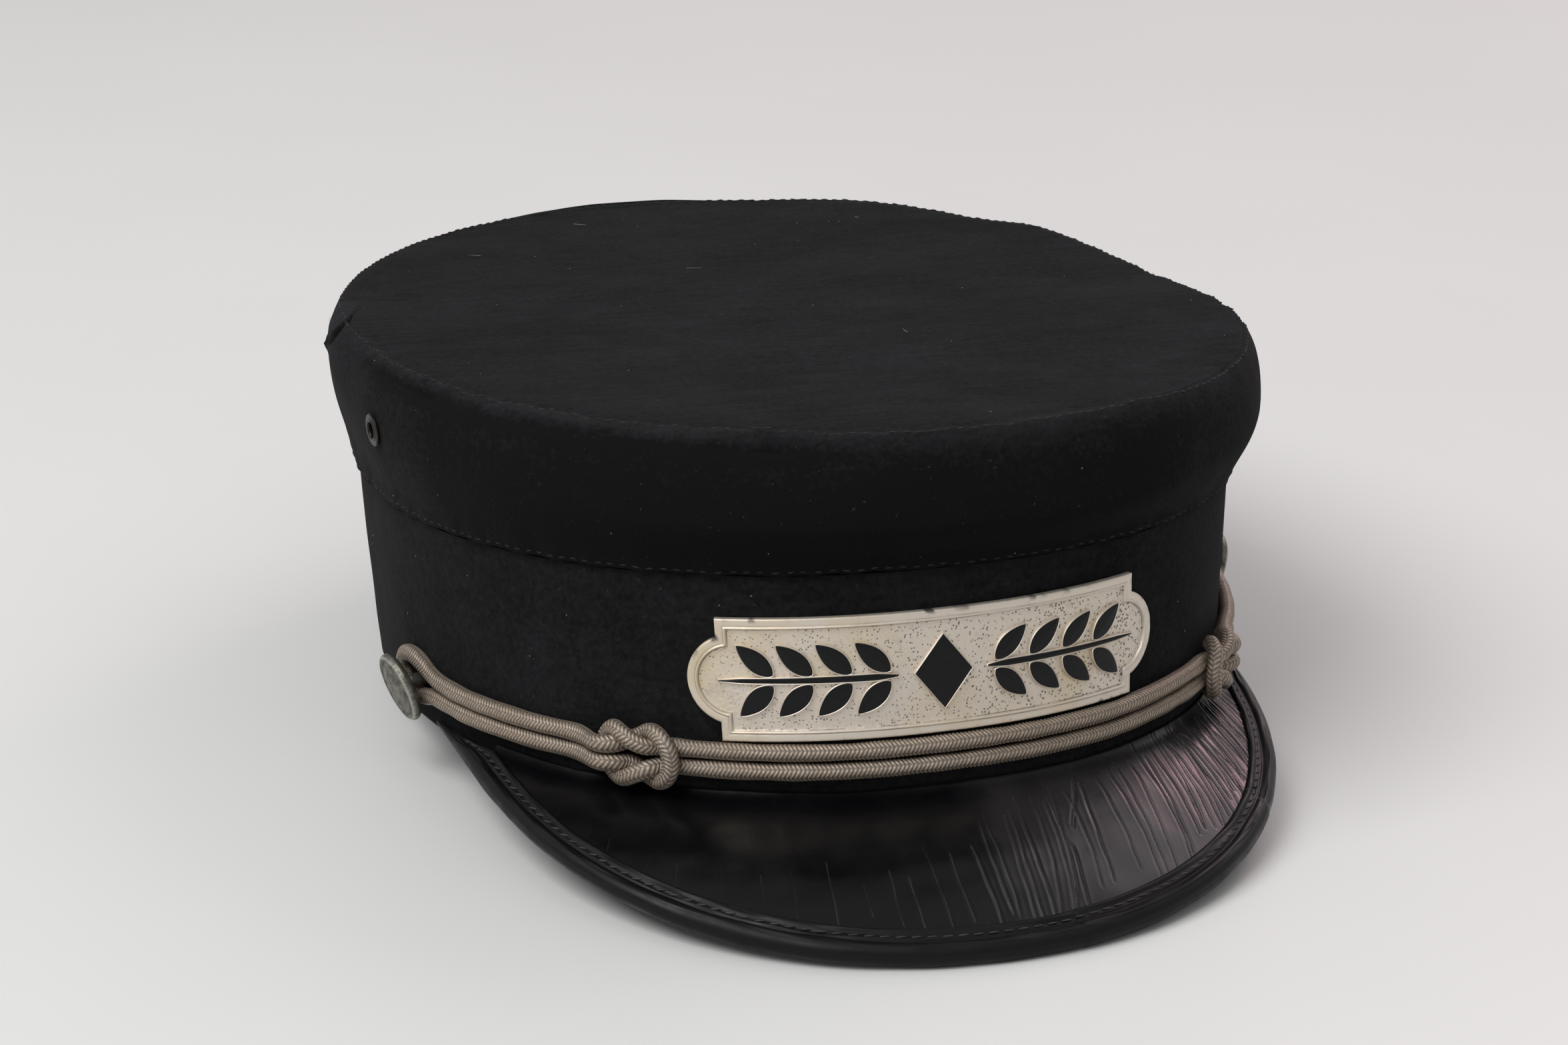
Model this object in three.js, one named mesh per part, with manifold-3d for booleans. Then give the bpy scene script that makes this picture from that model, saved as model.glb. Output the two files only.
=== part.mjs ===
import * as THREE from 'three';
import { mergeVertices } from 'three/addons/utils/BufferGeometryUtils.js';
import Module from 'manifold-3d';

// A railroad porter's cap, in millimetres.
// The cap's own frame: the front faces -Y, +X is the wearer's left, and z = 0 is the
// flat lower edge of the band. At the end the whole cap is tilted to rest as it lies.

const wasm = await Module();
wasm.setup();

// The oval that every level of the cap shares: a superellipse, a little wider in front
const OVAL_POWER = 2.144;
const FRONT_WIDENING = 0.043;

// Levels of the cap's wall from the lower edge up. `back` and `side` shift a level's
// centre, and `backRise` and `sideRise` are how much it climbs for each millimetre.
const BAND_FOOT = {
  halfWidth: 81.4, halfLength: 102.0, back: 0, side: 0, height: 0, backRise: 0, sideRise: 0,
};
const BAND_HEAD = {
  halfWidth: 84.4, halfLength: 100.3, back: 0.7, side: 0, height: 41.5, backRise: -0.008, sideRise: 0,
};
const WIDEST = {
  halfWidth: 89.1, halfLength: 106.4, back: -0.5, side: -0.3, height: 62.1, backRise: 0.09,
  sideRise: -0.006,
};
const TOP_SEAM = {
  halfWidth: 84.7, halfLength: 100.6, back: -0.2, side: 0.1, height: 69.3, backRise: 0.02,
  sideRise: -0.007,
};

const CLEARANCE = 0.3;
const BAND_WALL = 2.5;
const SIDE_WALL = 2.0;
const TOP_THICKNESS = 2.0;
const TOP_SAG = 1.2;
const SEAM_STEP = 0.9;
const AROUND = 56;
const SIDE_STEPS = { lower: 4, roll: 3 };

// Creases of the upper edge: where they are, how far they spread in degrees, how far
// they push the edge out and how far they lift it. The lift starts at LIFT_START, where
// 0 is the band's seam, 1 the widest level and 2 the top seam.
const EDGE_FOLDS = [
  { angle: -88, spread: 5, out: 1.3, lift: 0.6 },
  { angle: 66, spread: 22, out: 1.2, lift: 0.4 },
  { angle: 98, spread: 13, out: -0.8, lift: -1.4 },
  { angle: 118, spread: 9, out: 0.9, lift: 0.9 },
  { angle: 148, spread: 12, out: 0.4, lift: 1.1 },
  { angle: 16, spread: 14, out: 0, lift: 0.6 },
];
const LIFT_START = 0.6;

// The peak: a crescent of patent leather that slopes down from the band's front
const PEAK = {
  reach: 41.0, halfAngle: 83, sidePower: 2.055, endPower: 2.7, slope: 25.7, endSlope: 26.5,
  thickness: 2.0, rootHeight: 2.7, endRise: 0.84, crown: 1.1, end: 0.9, leatherShare: 0.685,
  bindingShare: 0.84,
};
const PEAK_STATIONS = 32;
// The folded binding on the peak's edge. Past the leather's ends it dwindles to the band,
// and `rootGap` and `tipGap` are its distance from the band before that and at its tips.
const BINDING = {
  width: 6.4, flap: 0.8, bead: 2.05, beadTurns: 5, stepDown: 0.25, fullReach: 6.5, rootGap: 1.8,
  tipGap: 0.7, tipStations: 3,
};

// The braided cord: two strands on the band, tied in a reef knot at each side
const CORD_DIAMETER = 3.1;
const CORD_SIDES = 8;
const STRAND_OFFSET = 1.7;
const STRAND_LIFT = 1.9;
// Steps longer than this are plain stretches, with no section between their ends
const PLAIN_STEP = 4;
const LEG_PITCH = 9;
const KNOT_ANGLES = { left: -34.3, right: 46 };
const BUTTON_ANGLES = { left: -72, right: 82.5 };
// Height of the line between the two strands
const CORD_HEIGHTS = [
  { angle: -72, height: 10.0 },
  { angle: -60, height: 9.3 },
  { angle: -36, height: 9.0 },
  { angle: -12, height: 8.8 },
  { angle: 6, height: 9.1 },
  { angle: 22, height: 9.3 },
  { angle: 33, height: 10.0 },
  { angle: 46, height: 10.3 },
  { angle: 82.5, height: 12.6 },
];
// One half of a reef knot, from its middle line: `along` the cord, `up` from the line
// between the strands, and `off` the band. The other half is its mirror.
const OVER_BIGHT = [
  { along: -14.5, up: 1.7, off: 1.9 },
  { along: -11.3, up: 1.7, off: 3.3 },
  { along: -8.9, up: 1.7, off: 5.0 },
  { along: -6.8, up: 1.7, off: 5.6 },
  { along: -4.6, up: 1.8, off: 4.5 },
  { along: -2.5, up: 2.3, off: 2.3 },
  { along: 0, up: 3.5, off: 1.9 },
  { along: 2.3, up: 4.9, off: 2.3 },
  { along: 4.4, up: 5.2, off: 3.8 },
  { along: 6.3, up: 4.0, off: 5.2 },
  { along: 7.4, up: 2.0, off: 5.6 },
  { along: 7.7, up: 0, off: 5.6 },
];
const UNDER_BIGHT = [
  { along: 10.5, up: 1.7, off: 1.9 },
  { along: 7.0, up: 1.7, off: 1.9 },
  { along: 4.7, up: 1.8, off: 2.8 },
  { along: 2.4, up: 2.3, off: 5.0 },
  { along: 0, up: 3.5, off: 5.6 },
  { along: -2.4, up: 4.9, off: 5.0 },
  { along: -4.5, up: 5.2, off: 3.4 },
  { along: -6.3, up: 4.0, off: 2.2 },
  { along: -7.5, up: 2.0, off: 1.9 },
  { along: -7.8, up: 0, off: 1.9 },
];

// The buttons that hold the cord's ends: a rimmed head that nods down, on a shank
// that passes through the band to a small washer inside
const BUTTON = {
  neck: 4.3, reach: 2.0, nod: 18, drop: 0.5, shankRadius: 1.3, shankSides: 8, joint: 0.5,
  washerRadius: 3.2, washerThickness: 0.9, sides: 16,
};
// Section of a head, from the middle of its back round its rim to the middle of its face
const BUTTON_PROFILE = [
  { radius: 0, height: -0.2 },
  { radius: 5.7, height: -0.2 },
  { radius: 6.9, height: 0.5 },
  { radius: 6.9, height: 1.4 },
  { radius: 6.5, height: 1.9 },
  { radius: 6.0, height: 1.9 },
  { radius: 5.7, height: 1.5 },
  { radius: 3.1, height: 2.35 },
  { radius: 0, height: 2.45 },
];
// Half the cord's bight round a button's shank, from its legs to its tip
const BUTTON_BIGHT = [
  { along: 9.5, up: 1.8, off: 1.9 },
  { along: 5.8, up: 2.8, off: 1.95 },
  { along: 2.0, up: 3.7, off: 1.95 },
  { along: -1.6, up: 3.2, off: 1.95 },
  { along: -3.6, up: 0, off: 1.95 },
];

// The badge: a plate bent to the band, with notched corners and a round lobe at each end
const BADGE = {
  length: 90.2, height: 22.0, lobe: 5.5, lobeChord: 15.2, side: 0.7, centreHeight: 23.7, turn: 0.59,
  thickness: 1.4, border: 1.9, recess: 0.5, lobeSteps: 5, plainSteps: 10,
};
// The two posts that hold it, from the plate's back through the band
const POST = { radius: 1.0, spacing: 60, length: 3.4, joint: 0.5, sides: 8 };
// Enamel leaves on the badge: two sprays that run out from a lozenge in the middle
const SPRAY = { pairs: 4, first: 8.6, pitch: 6.8, leafLength: 9.4, leafWidth: 3.5, lean: 42 };
const LEAF_STEPS = { outline: 6, spans: 4 };
const STEM = { start: 8.2, end: 39.5, halfWidth: 0.55, taper: 0.5, steps: 6 };
const LOZENGE = { halfWidth: 5.2, halfHeight: 6.6, steps: 6 };
const ENAMEL_THICKNESS = 0.55;
// Half the width that a flat shape keeps at a pointed end
const POINT_WIDTH = 0.05;

// A vent eyelet in each side of the crown
const EYELET = { angles: { left: -74.3, right: 84.0 }, level: 0.92, barrel: 2.5, sides: 12 };
// Its section: the rolled flange outside, the barrel through the cloth, the flange inside
const EYELET_PROFILE = [
  { radius: 1.7, height: -3.6 },
  { radius: 1.7, height: 1.45 },
  { radius: 2.5, height: 1.85 },
  { radius: 3.4, height: 1.35 },
  { radius: 3.7, height: 0.65 },
  { radius: EYELET.barrel, height: 0.65 },
  { radius: EYELET.barrel, height: -2.95 },
  { radius: 3.3, height: -2.95 },
  { radius: 3.3, height: -3.6 },
];
const HOLE_SIDES = 10;

// Colours and finishes
const CLOTH = { color: 0x1d1d20, roughness: 0.95, metalness: 0 };
const PATENT = { color: 0x0d0c0e, roughness: 0.22, metalness: 0 };
const BRAID = { color: 0x8d8377, roughness: 0.55, metalness: 0.5 };
const NICKEL = { color: 0xd6d1c0, roughness: 0.35, metalness: 0.9 };
const TARNISHED = { color: 0x76766a, roughness: 0.45, metalness: 0.8 };
const ENAMEL = { color: 0x101013, roughness: 0.25, metalness: 0 };
const GUNMETAL = { color: 0x2c2d31, roughness: 0.4, metalness: 0.7 };

const radians = THREE.MathUtils.degToRad;
const lerp = THREE.MathUtils.lerp;
const cap = new THREE.Group();

// Geometry helpers

// Turns a closed geometry's faces outwards if they point in
function facingOut(geometry) {
  const p = geometry.attributes.position;
  const index = geometry.index.array;
  const a = new THREE.Vector3();
  const b = new THREE.Vector3();
  const c = new THREE.Vector3();
  let volume = 0;
  for (let i = 0; i < index.length; i += 3) {
    a.fromBufferAttribute(p, index[i]);
    b.fromBufferAttribute(p, index[i + 1]);
    c.fromBufferAttribute(p, index[i + 2]);
    volume += a.dot(b.cross(c));
  }
  if (volume < 0) {
    for (let i = 0; i < index.length; i += 3) {
      [index[i], index[i + 1]] = [index[i + 1], index[i]];
    }
  }
  return geometry;
}

// A skin over sections, which are closed outlines with the same number of points. It
// joins its last section to its first, or closes both ends as `endOutline` is filled.
function skin(sections, endOutline = null) {
  const count = sections[0].length;
  const bays = endOutline ? sections.length - 1 : sections.length;
  const faces = [];
  for (let i = 0; i < bays; i += 1) {
    const here = i * count;
    const next = ((i + 1) % sections.length) * count;
    for (let j = 0; j < count; j += 1) {
      const k = (j + 1) % count;
      faces.push(here + j, here + k, next + k, here + j, next + k, next + j);
    }
  }
  if (endOutline) {
    const far = (sections.length - 1) * count;
    const clockwise = THREE.ShapeUtils.isClockWise(endOutline);
    for (const [a, p, q] of THREE.ShapeUtils.triangulateShape(endOutline, [])) {
      const [b, c] = clockwise ? [q, p] : [p, q];
      faces.push(a, c, b, far + a, far + b, far + c);
    }
  }
  const geometry = new THREE.BufferGeometry();
  const positions = sections.flat().flatMap((point) => point.toArray());
  geometry.setAttribute('position', new THREE.Float32BufferAttribute(positions, 3));
  geometry.setIndex(faces);
  return facingOut(geometry);
}

// Shared vertices merged, with positions alone
function welded(geometry) {
  const bare = geometry.clone();
  bare.deleteAttribute('normal');
  bare.deleteAttribute('uv');
  return mergeVertices(bare, 1e-4);
}

function toSolid(geometry) {
  const merged = welded(geometry);
  return new wasm.Manifold(new wasm.Mesh({
    numProp: 3,
    vertProperties: new Float32Array(merged.attributes.position.array),
    triVerts: new Uint32Array(merged.index.array),
  }));
}

function toGeometry(solid) {
  const mesh = solid.getMesh();
  const geometry = new THREE.BufferGeometry();
  geometry.setAttribute('position', new THREE.BufferAttribute(mesh.vertProperties, 3));
  geometry.setIndex(new THREE.BufferAttribute(mesh.triVerts, 1));
  return geometry;
}

function addPiece(name, geometry, finish) {
  const faceted = geometry.toNonIndexed();
  faceted.computeVertexNormals();
  const mesh = new THREE.Mesh(faceted, new THREE.MeshStandardMaterial(finish));
  mesh.name = name;
  cap.add(mesh);
}

// Value of a named column at an angle, read between the rows of a table
function tableAt(rows, column, angle) {
  const next = rows.findIndex((row) => row.angle >= angle);
  if (next <= 0) {
    return (next === 0 ? rows[0] : rows[rows.length - 1])[column];
  }
  const [a, b] = [rows[next - 1], rows[next]];
  const t = (angle - a.angle) / (b.angle - a.angle);
  return lerp(a[column], b[column], t * t * (3 - 2 * t));
}

// The cap's wall. Angles are in degrees from the middle of the front, towards +X.

function blend(low, high, amount, climb = amount) {
  const level = {};
  for (const key of Object.keys(low)) {
    const share = key.endsWith('Rise') || key === 'height' ? climb : amount;
    level[key] = lerp(low[key], high[key], share);
  }
  return level;
}

function levelPoint(level, angle, grow = 0) {
  const s = Math.sin(radians(angle));
  const c = -Math.cos(radians(angle));
  const power = 2 / OVAL_POWER;
  const flatY = Math.sign(c) * Math.abs(c) ** power;
  const flatX = Math.sign(s) * Math.abs(s) ** power * (1 - FRONT_WIDENING * flatY);
  const x = (level.halfWidth + grow) * flatX + level.side;
  const y = (level.halfLength + grow) * flatY + level.back;
  return new THREE.Vector3(x, y, level.height + level.backRise * y + level.sideRise * x);
}

// The band's outer face: level with the distance up it
function bandLevel(height) {
  return blend(BAND_FOOT, BAND_HEAD, height / BAND_HEAD.height);
}

function outward(level, angle) {
  const step = 0.05;
  const along = levelPoint(level, angle + step).sub(levelPoint(level, angle - step));
  return new THREE.Vector3(along.y, -along.x, 0).normalize();
}

// Arc length along the front of the band at the badge's height, and back to an angle
const ARC_STEP = 0.5;
const ARC_END = 120;
const arcLengths = [0];
for (let angle = ARC_STEP; angle <= ARC_END; angle += ARC_STEP) {
  const level = bandLevel(BADGE.centreHeight);
  const chord = levelPoint(level, angle).distanceTo(levelPoint(level, angle - ARC_STEP));
  arcLengths.push(arcLengths[arcLengths.length - 1] + chord);
}

function angleAt(along) {
  const distance = Math.abs(along);
  const next = arcLengths.findIndex((length) => length > distance);
  const part = (distance - arcLengths[next - 1]) / (arcLengths[next] - arcLengths[next - 1]);
  return Math.sign(along) * (next - 1 + part) * ARC_STEP;
}

function arcAt(angle) {
  const whole = Math.floor(Math.abs(angle) / ARC_STEP);
  const part = Math.abs(angle) / ARC_STEP - whole;
  return Math.sign(angle) * lerp(arcLengths[whole], arcLengths[whole + 1], part);
}

// A point on the band's face: along it from the middle of the front, up it, and off it
function onBand(along, up, off) {
  const angle = angleAt(along);
  const level = bandLevel(up);
  return levelPoint(level, angle).addScaledVector(outward(level, angle), off);
}

// Crown side: from the band's seam out to the widest level and over to the top seam

function edgeFold(angle, column) {
  let sum = 0;
  for (const fold of EDGE_FOLDS) {
    const away = THREE.MathUtils.euclideanModulo(angle - fold.angle + 180, 360) - 180;
    sum += fold[column] * Math.exp(-((away / fold.spread) ** 2));
  }
  return sum;
}

// Point of the side's outer face: t runs from 0 at the band to 1 at the widest level,
// and on to 2 at the top seam
function sidePoint(t, angle) {
  let level;
  let share;
  if (t <= 1) {
    const swell = 0.5 * t * t * (3 - 2 * t) + 0.5 * Math.sin(t * Math.PI / 2);
    level = blend(BAND_HEAD, WIDEST, swell, t);
    level.height += CLEARANCE * (1 - t);
    share = t * t;
  } else {
    const turn = (t - 1) * Math.PI / 2;
    level = blend(WIDEST, TOP_SEAM, 1 - Math.cos(turn), Math.sin(turn));
    share = 1;
  }
  const grow = SEAM_STEP * Math.max(0, 1 - t) ** 2 + edgeFold(angle, 'out') * share;
  const point = levelPoint(level, angle, grow);
  point.z += edgeFold(angle, 'lift') * share * Math.max(0, t - LIFT_START) / (2 - LIFT_START);
  return point;
}

// Direction off the side's outer face, clear of its two edges
function sideNormal(t, angle) {
  const step = 0.02;
  const turn = 0.5;
  const level = THREE.MathUtils.clamp(t, 1.5 * step, 2 - 1.5 * step);
  const up = sidePoint(level + step, angle).sub(sidePoint(level - step, angle));
  const across = sidePoint(level, angle + turn).sub(sidePoint(level, angle - turn));
  return across.cross(up).normalize();
}

function makeSide() {
  const levels = [];
  for (let i = 0; i < SIDE_STEPS.lower; i += 1) {
    levels.push(i / SIDE_STEPS.lower);
  }
  for (let i = 0; i <= SIDE_STEPS.roll; i += 1) {
    levels.push(1 + i / SIDE_STEPS.roll);
  }
  const sections = [];
  for (let i = 0; i < AROUND; i += 1) {
    const angle = 360 * i / AROUND;
    const outer = levels.map((t) => sidePoint(t, angle));
    const inner = levels.map((t, k) => {
      const off = sideNormal(t, angle);
      if (k === 0) {
        off.setZ(0).normalize();
      } else if (k === levels.length - 1) {
        off.set(0, 0, 1);
      }
      return outer[k].clone().addScaledVector(off, -SIDE_WALL);
    });
    sections.push([...outer, ...inner.reverse()]);
  }
  return toSolid(skin(sections));
}

// Crown top: an oval panel inside the top seam, a little slack in the middle

function makeTop() {
  const rings = [1, 0.8, 0.4];
  const positions = [];
  const faces = [];
  for (const drop of [0, TOP_THICKNESS]) {
    for (const share of rings) {
      for (let i = 0; i < AROUND; i += 1) {
        const angle = 360 * i / AROUND;
        const edge = sidePoint(2, angle).addScaledVector(outward(TOP_SEAM, angle), -CLEARANCE);
        const x = edge.x * share;
        const y = edge.y * share;
        const plane = TOP_SEAM.height + TOP_SEAM.backRise * y + TOP_SEAM.sideRise * x;
        const lift = edgeFold(angle, 'lift') * share ** 3;
        const sag = TOP_SAG * (1 - share ** 2);
        positions.push(x, y, plane + lift - sag - drop);
      }
    }
    positions.push(0, 0, TOP_SEAM.height - TOP_SAG - drop);
  }
  const half = rings.length * AROUND + 1;
  for (let i = 0; i < AROUND; i += 1) {
    const j = (i + 1) % AROUND;
    for (let r = 0; r + 1 < rings.length; r += 1) {
      const [a, b, c, d] = [r * AROUND + i, r * AROUND + j, (r + 1) * AROUND + j, (r + 1) * AROUND + i];
      faces.push(a, b, c, a, c, d, half + a, half + c, half + b, half + a, half + d, half + c);
    }
    const inner = (rings.length - 1) * AROUND;
    faces.push(inner + i, inner + j, half - 1);
    faces.push(half + inner + j, half + inner + i, 2 * half - 1);
    faces.push(i, half + i, half + j, i, half + j, j);
  }
  const geometry = new THREE.BufferGeometry();
  geometry.setAttribute('position', new THREE.Float32BufferAttribute(positions, 3));
  geometry.setIndex(faces);
  return facingOut(geometry);
}

// Band: the straight lower wall, drilled for the shanks and posts that pass through it

function makeBand() {
  const sections = [];
  for (let i = 0; i < AROUND; i += 1) {
    const angle = 360 * i / AROUND;
    const foot = levelPoint(BAND_FOOT, angle);
    const head = levelPoint(BAND_HEAD, angle);
    const inFoot = outward(BAND_FOOT, angle).multiplyScalar(-BAND_WALL);
    const inHead = outward(BAND_HEAD, angle).multiplyScalar(-BAND_WALL);
    sections.push([foot, head, head.clone().add(inHead), foot.clone().add(inFoot)]);
  }
  return toSolid(skin(sections));
}

// A cylinder from one point to another, as a closed geometry
function rod(from, to, radius, sides) {
  const length = from.distanceTo(to);
  const geometry = new THREE.CylinderGeometry(radius, radius, length, sides);
  const turn = new THREE.Quaternion().setFromUnitVectors(
    new THREE.Vector3(0, 1, 0), to.clone().sub(from).normalize(),
  );
  geometry.applyQuaternion(turn);
  const middle = from.clone().add(to).multiplyScalar(0.5);
  return geometry.translate(middle.x, middle.y, middle.z);
}

// A turned shape whose axis runs from a point along a direction
function turned(profile, sides, origin, direction) {
  const points = profile.map((row) => new THREE.Vector2(row.radius, row.height));
  const geometry = new THREE.LatheGeometry(points, sides);
  const turn = new THREE.Quaternion().setFromUnitVectors(new THREE.Vector3(0, 1, 0), direction);
  geometry.applyQuaternion(turn);
  geometry.translate(origin.x, origin.y, origin.z);
  return facingOut(welded(geometry));
}

// Peak: sections across it, from the band out to its edge

function peakReach(angle) {
  const t = Math.abs(angle) / PEAK.halfAngle;
  return PEAK.reach * Math.max(0, 1 - t ** PEAK.sidePower) ** PEAK.endPower;
}

// A point of the peak at an angle: a distance out from the band, and up from its top face
function onPeak(angle, out, up) {
  const t = Math.abs(angle) / PEAK.halfAngle;
  const slope = radians(lerp(PEAK.slope, PEAK.endSlope, t * t));
  const arch = PEAK.crown * Math.sin(Math.PI * Math.min(1, out / PEAK.reach));
  const point = levelPoint(BAND_FOOT, angle);
  const away = outward(BAND_FOOT, angle);
  point.addScaledVector(away, out * Math.cos(slope) + (up + arch) * Math.sin(slope));
  point.z += PEAK.rootHeight + PEAK.endRise * t * t;
  point.z += (up + arch) * Math.cos(slope) - out * Math.sin(slope);
  return point;
}

// Stations along the leather, closer together towards its ends
function peakAngles() {
  const limit = PEAK.halfAngle * PEAK.leatherShare;
  const angles = [];
  for (let i = 0; i <= PEAK_STATIONS; i += 1) {
    angles.push(limit * Math.sin(Math.PI / 2 * (2 * i / PEAK_STATIONS - 1)));
  }
  return angles;
}

// The binding has the leather's stations, so that their facets match, and a few past each end
function bindingAngles() {
  const past = [];
  for (let i = 1; i <= BINDING.tipStations; i += 1) {
    const share = lerp(PEAK.leatherShare, PEAK.bindingShare, i / BINDING.tipStations);
    past.push(PEAK.halfAngle * share);
  }
  return [...past.map((angle) => -angle).reverse(), ...peakAngles(), ...past];
}

function makePeak() {
  const undercut = PEAK.thickness * Math.tan(radians(PEAK.slope));
  const shares = [0, 0.33, 0.67, 1];
  const outline = [
    ...shares.map((share) => new THREE.Vector2(share, 0)),
    ...shares.map((share) => new THREE.Vector2(1 - share, -1)),
  ];
  const sections = peakAngles().map((angle) => {
    const edge = peakReach(angle) - BINDING.bead + PEAK.end;
    return outline.map((p) => {
      const start = CLEARANCE - p.y * undercut;
      return onPeak(angle, lerp(start, edge, p.x), p.y * PEAK.thickness);
    });
  });
  return skin(sections, outline);
}

// Binding: a leather strip folded round the peak's edge, with a full bead outside
function makeBinding() {
  const slot = PEAK.thickness / 2 + CLEARANCE;
  const face = slot + BINDING.flap;
  const section = (angle) => {
    const reach = peakReach(angle);
    const size = Math.min(1, reach / BINDING.fullReach);
    const bead = reach - BINDING.bead * size;
    const inner = Math.max(reach - BINDING.width, lerp(BINDING.tipGap, BINDING.rootGap, size));
    const slotEnd = bead + (PEAK.end + CLEARANCE) * size;
    const points = [[inner, face - BINDING.stepDown], [bead, face]];
    for (let i = 1; i < BINDING.beadTurns; i += 1) {
      const turn = Math.PI / 2 - Math.PI * i / BINDING.beadTurns;
      points.push([bead + size * BINDING.bead * Math.cos(turn), BINDING.bead * Math.sin(turn)]);
    }
    points.push([bead, -face], [inner, BINDING.stepDown - face]);
    points.push([inner, -slot], [slotEnd, -slot], [slotEnd, slot], [inner, slot]);
    return points.map(([out, up]) => [out, size * up - PEAK.thickness / 2]);
  };
  const outline = section(0).map(([x, y]) => new THREE.Vector2(x, y));
  const sections = bindingAngles().map((angle) => (
    section(angle).map(([out, up]) => onPeak(angle, out, up))
  ));
  return skin(sections, outline);
}

// Cord: closed rings of strand. A strand's route is a list of places on the band.

function cordHeight(along) {
  return tableAt(CORD_HEIGHTS, 'height', angleAt(along));
}

// A half bight from a table, placed at a point of the cord and facing either way
function halfBight(table, centre, facing, side) {
  return table.map((row) => ({ along: centre + facing * row.along, up: side * row.up, off: row.off }));
}

// Two mirrored halves joined at the bight's tip, which they share
function wholeBight(table, centre, facing) {
  const upper = halfBight(table, centre, facing, 1);
  const lower = halfBight(table, centre, facing, -1).reverse();
  return [...upper, ...lower.slice(1)];
}

// Plain stretch of a strand between two bights
function leg(from, to, side) {
  const count = Math.max(1, Math.round(Math.abs(to - from) / LEG_PITCH));
  const places = [];
  for (let i = 1; i < count; i += 1) {
    places.push({ along: lerp(from, to, i / count), up: side * STRAND_OFFSET, off: STRAND_LIFT });
  }
  return places;
}

function strand(places) {
  const points = places.map((place) => onBand(place.along, cordHeight(place.along) + place.up, place.off));
  const route = new THREE.CatmullRomCurve3(points, true, 'centripetal');
  const sections = [];
  places.forEach((place, i) => {
    const next = places[(i + 1) % places.length];
    const plain = Math.abs(next.along - place.along) > PLAIN_STEP;
    for (const part of plain ? [0] : [0, 0.5]) {
      const t = (i + part) / places.length;
      const centre = route.getPoint(t);
      const ahead = route.getTangent(t);
      const off = outward(BAND_FOOT, angleAt(lerp(place.along, next.along, part)));
      const across = ahead.clone().cross(off).normalize();
      const out = across.clone().cross(ahead);
      const ring = [];
      for (let k = 0; k < CORD_SIDES; k += 1) {
        const turn = 2 * Math.PI * k / CORD_SIDES;
        const point = centre.clone().addScaledVector(across, Math.cos(turn) * CORD_DIAMETER / 2);
        ring.push(point.addScaledVector(out, Math.sin(turn) * CORD_DIAMETER / 2));
      }
      sections.push(ring);
    }
  });
  return skin(sections);
}

function makeCordLoop(side) {
  const facing = side === 'left' ? 1 : -1;
  const knot = arcAt(KNOT_ANGLES[side]);
  const button = arcAt(BUTTON_ANGLES[side]);
  const first = knot + facing * OVER_BIGHT[0].along;
  const last = button + facing * BUTTON_BIGHT[0].along;
  const atKnot = wholeBight(OVER_BIGHT, knot, facing);
  const atButton = wholeBight(BUTTON_BIGHT, button, facing).reverse();
  return strand([...atKnot, ...leg(first, last, -1), ...atButton, ...leg(last, first, 1)]);
}

function makeCordRun() {
  const left = arcAt(KNOT_ANGLES.left);
  const right = arcAt(KNOT_ANGLES.right);
  const start = left + UNDER_BIGHT[0].along;
  const end = right - UNDER_BIGHT[0].along;
  const atLeft = wholeBight(UNDER_BIGHT, left, 1);
  const atRight = wholeBight(UNDER_BIGHT, right, -1).reverse();
  return strand([...atLeft, ...leg(start, end, -1), ...atRight, ...leg(end, start, 1)]);
}

// Buttons

function buttonSeat(side) {
  const along = arcAt(BUTTON_ANGLES[side]);
  const height = cordHeight(along) - BUTTON.drop;
  const off = outward(bandLevel(height), BUTTON_ANGLES[side]);
  return { foot: onBand(along, height, 0), off };
}

function makeButton(side) {
  const { foot, off } = buttonSeat(side);
  const nodded = off.clone().multiplyScalar(Math.cos(radians(BUTTON.nod)));
  nodded.z = -Math.sin(radians(BUTTON.nod));
  const neck = foot.clone().addScaledVector(off, BUTTON.neck);
  const head = neck.clone().addScaledVector(nodded, BUTTON.reach);
  const washer = foot.clone().addScaledVector(off, -BAND_WALL - 2 * CLEARANCE);
  const washerBack = washer.clone().addScaledVector(off, -BUTTON.washerThickness);
  const shankEnd = neck.clone().addScaledVector(off, BUTTON.joint);
  const throatEnd = head.clone().addScaledVector(nodded, BUTTON.joint);
  const shank = rod(washerBack, shankEnd, BUTTON.shankRadius, BUTTON.shankSides);
  const throat = rod(neck, throatEnd, BUTTON.shankRadius, BUTTON.shankSides);
  const plate = rod(washerBack, washer, BUTTON.washerRadius, BUTTON.sides);
  const solid = toSolid(turned(BUTTON_PROFILE, BUTTON.sides, head, nodded));
  return solid.add(toSolid(throat)).add(toSolid(shank)).add(toSolid(plate));
}

function shankHole(side) {
  const { foot, off } = buttonSeat(side);
  const slack = BUTTON.shankRadius + 2 * CLEARANCE;
  const from = foot.clone().addScaledVector(off, -BAND_WALL * 2);
  return toSolid(rod(from, foot.clone().addScaledVector(off, BAND_WALL), slack, HOLE_SIDES));
}

// Badge, in its own flat frame: `along` from its middle, `up` from its middle, `off` the band

function onBadge(along, up, off) {
  const turn = radians(BADGE.turn);
  const x = BADGE.side + along * Math.cos(turn) - up * Math.sin(turn);
  const z = BADGE.centreHeight + along * Math.sin(turn) + up * Math.cos(turn);
  return onBand(x, z, CLEARANCE + off);
}

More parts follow.
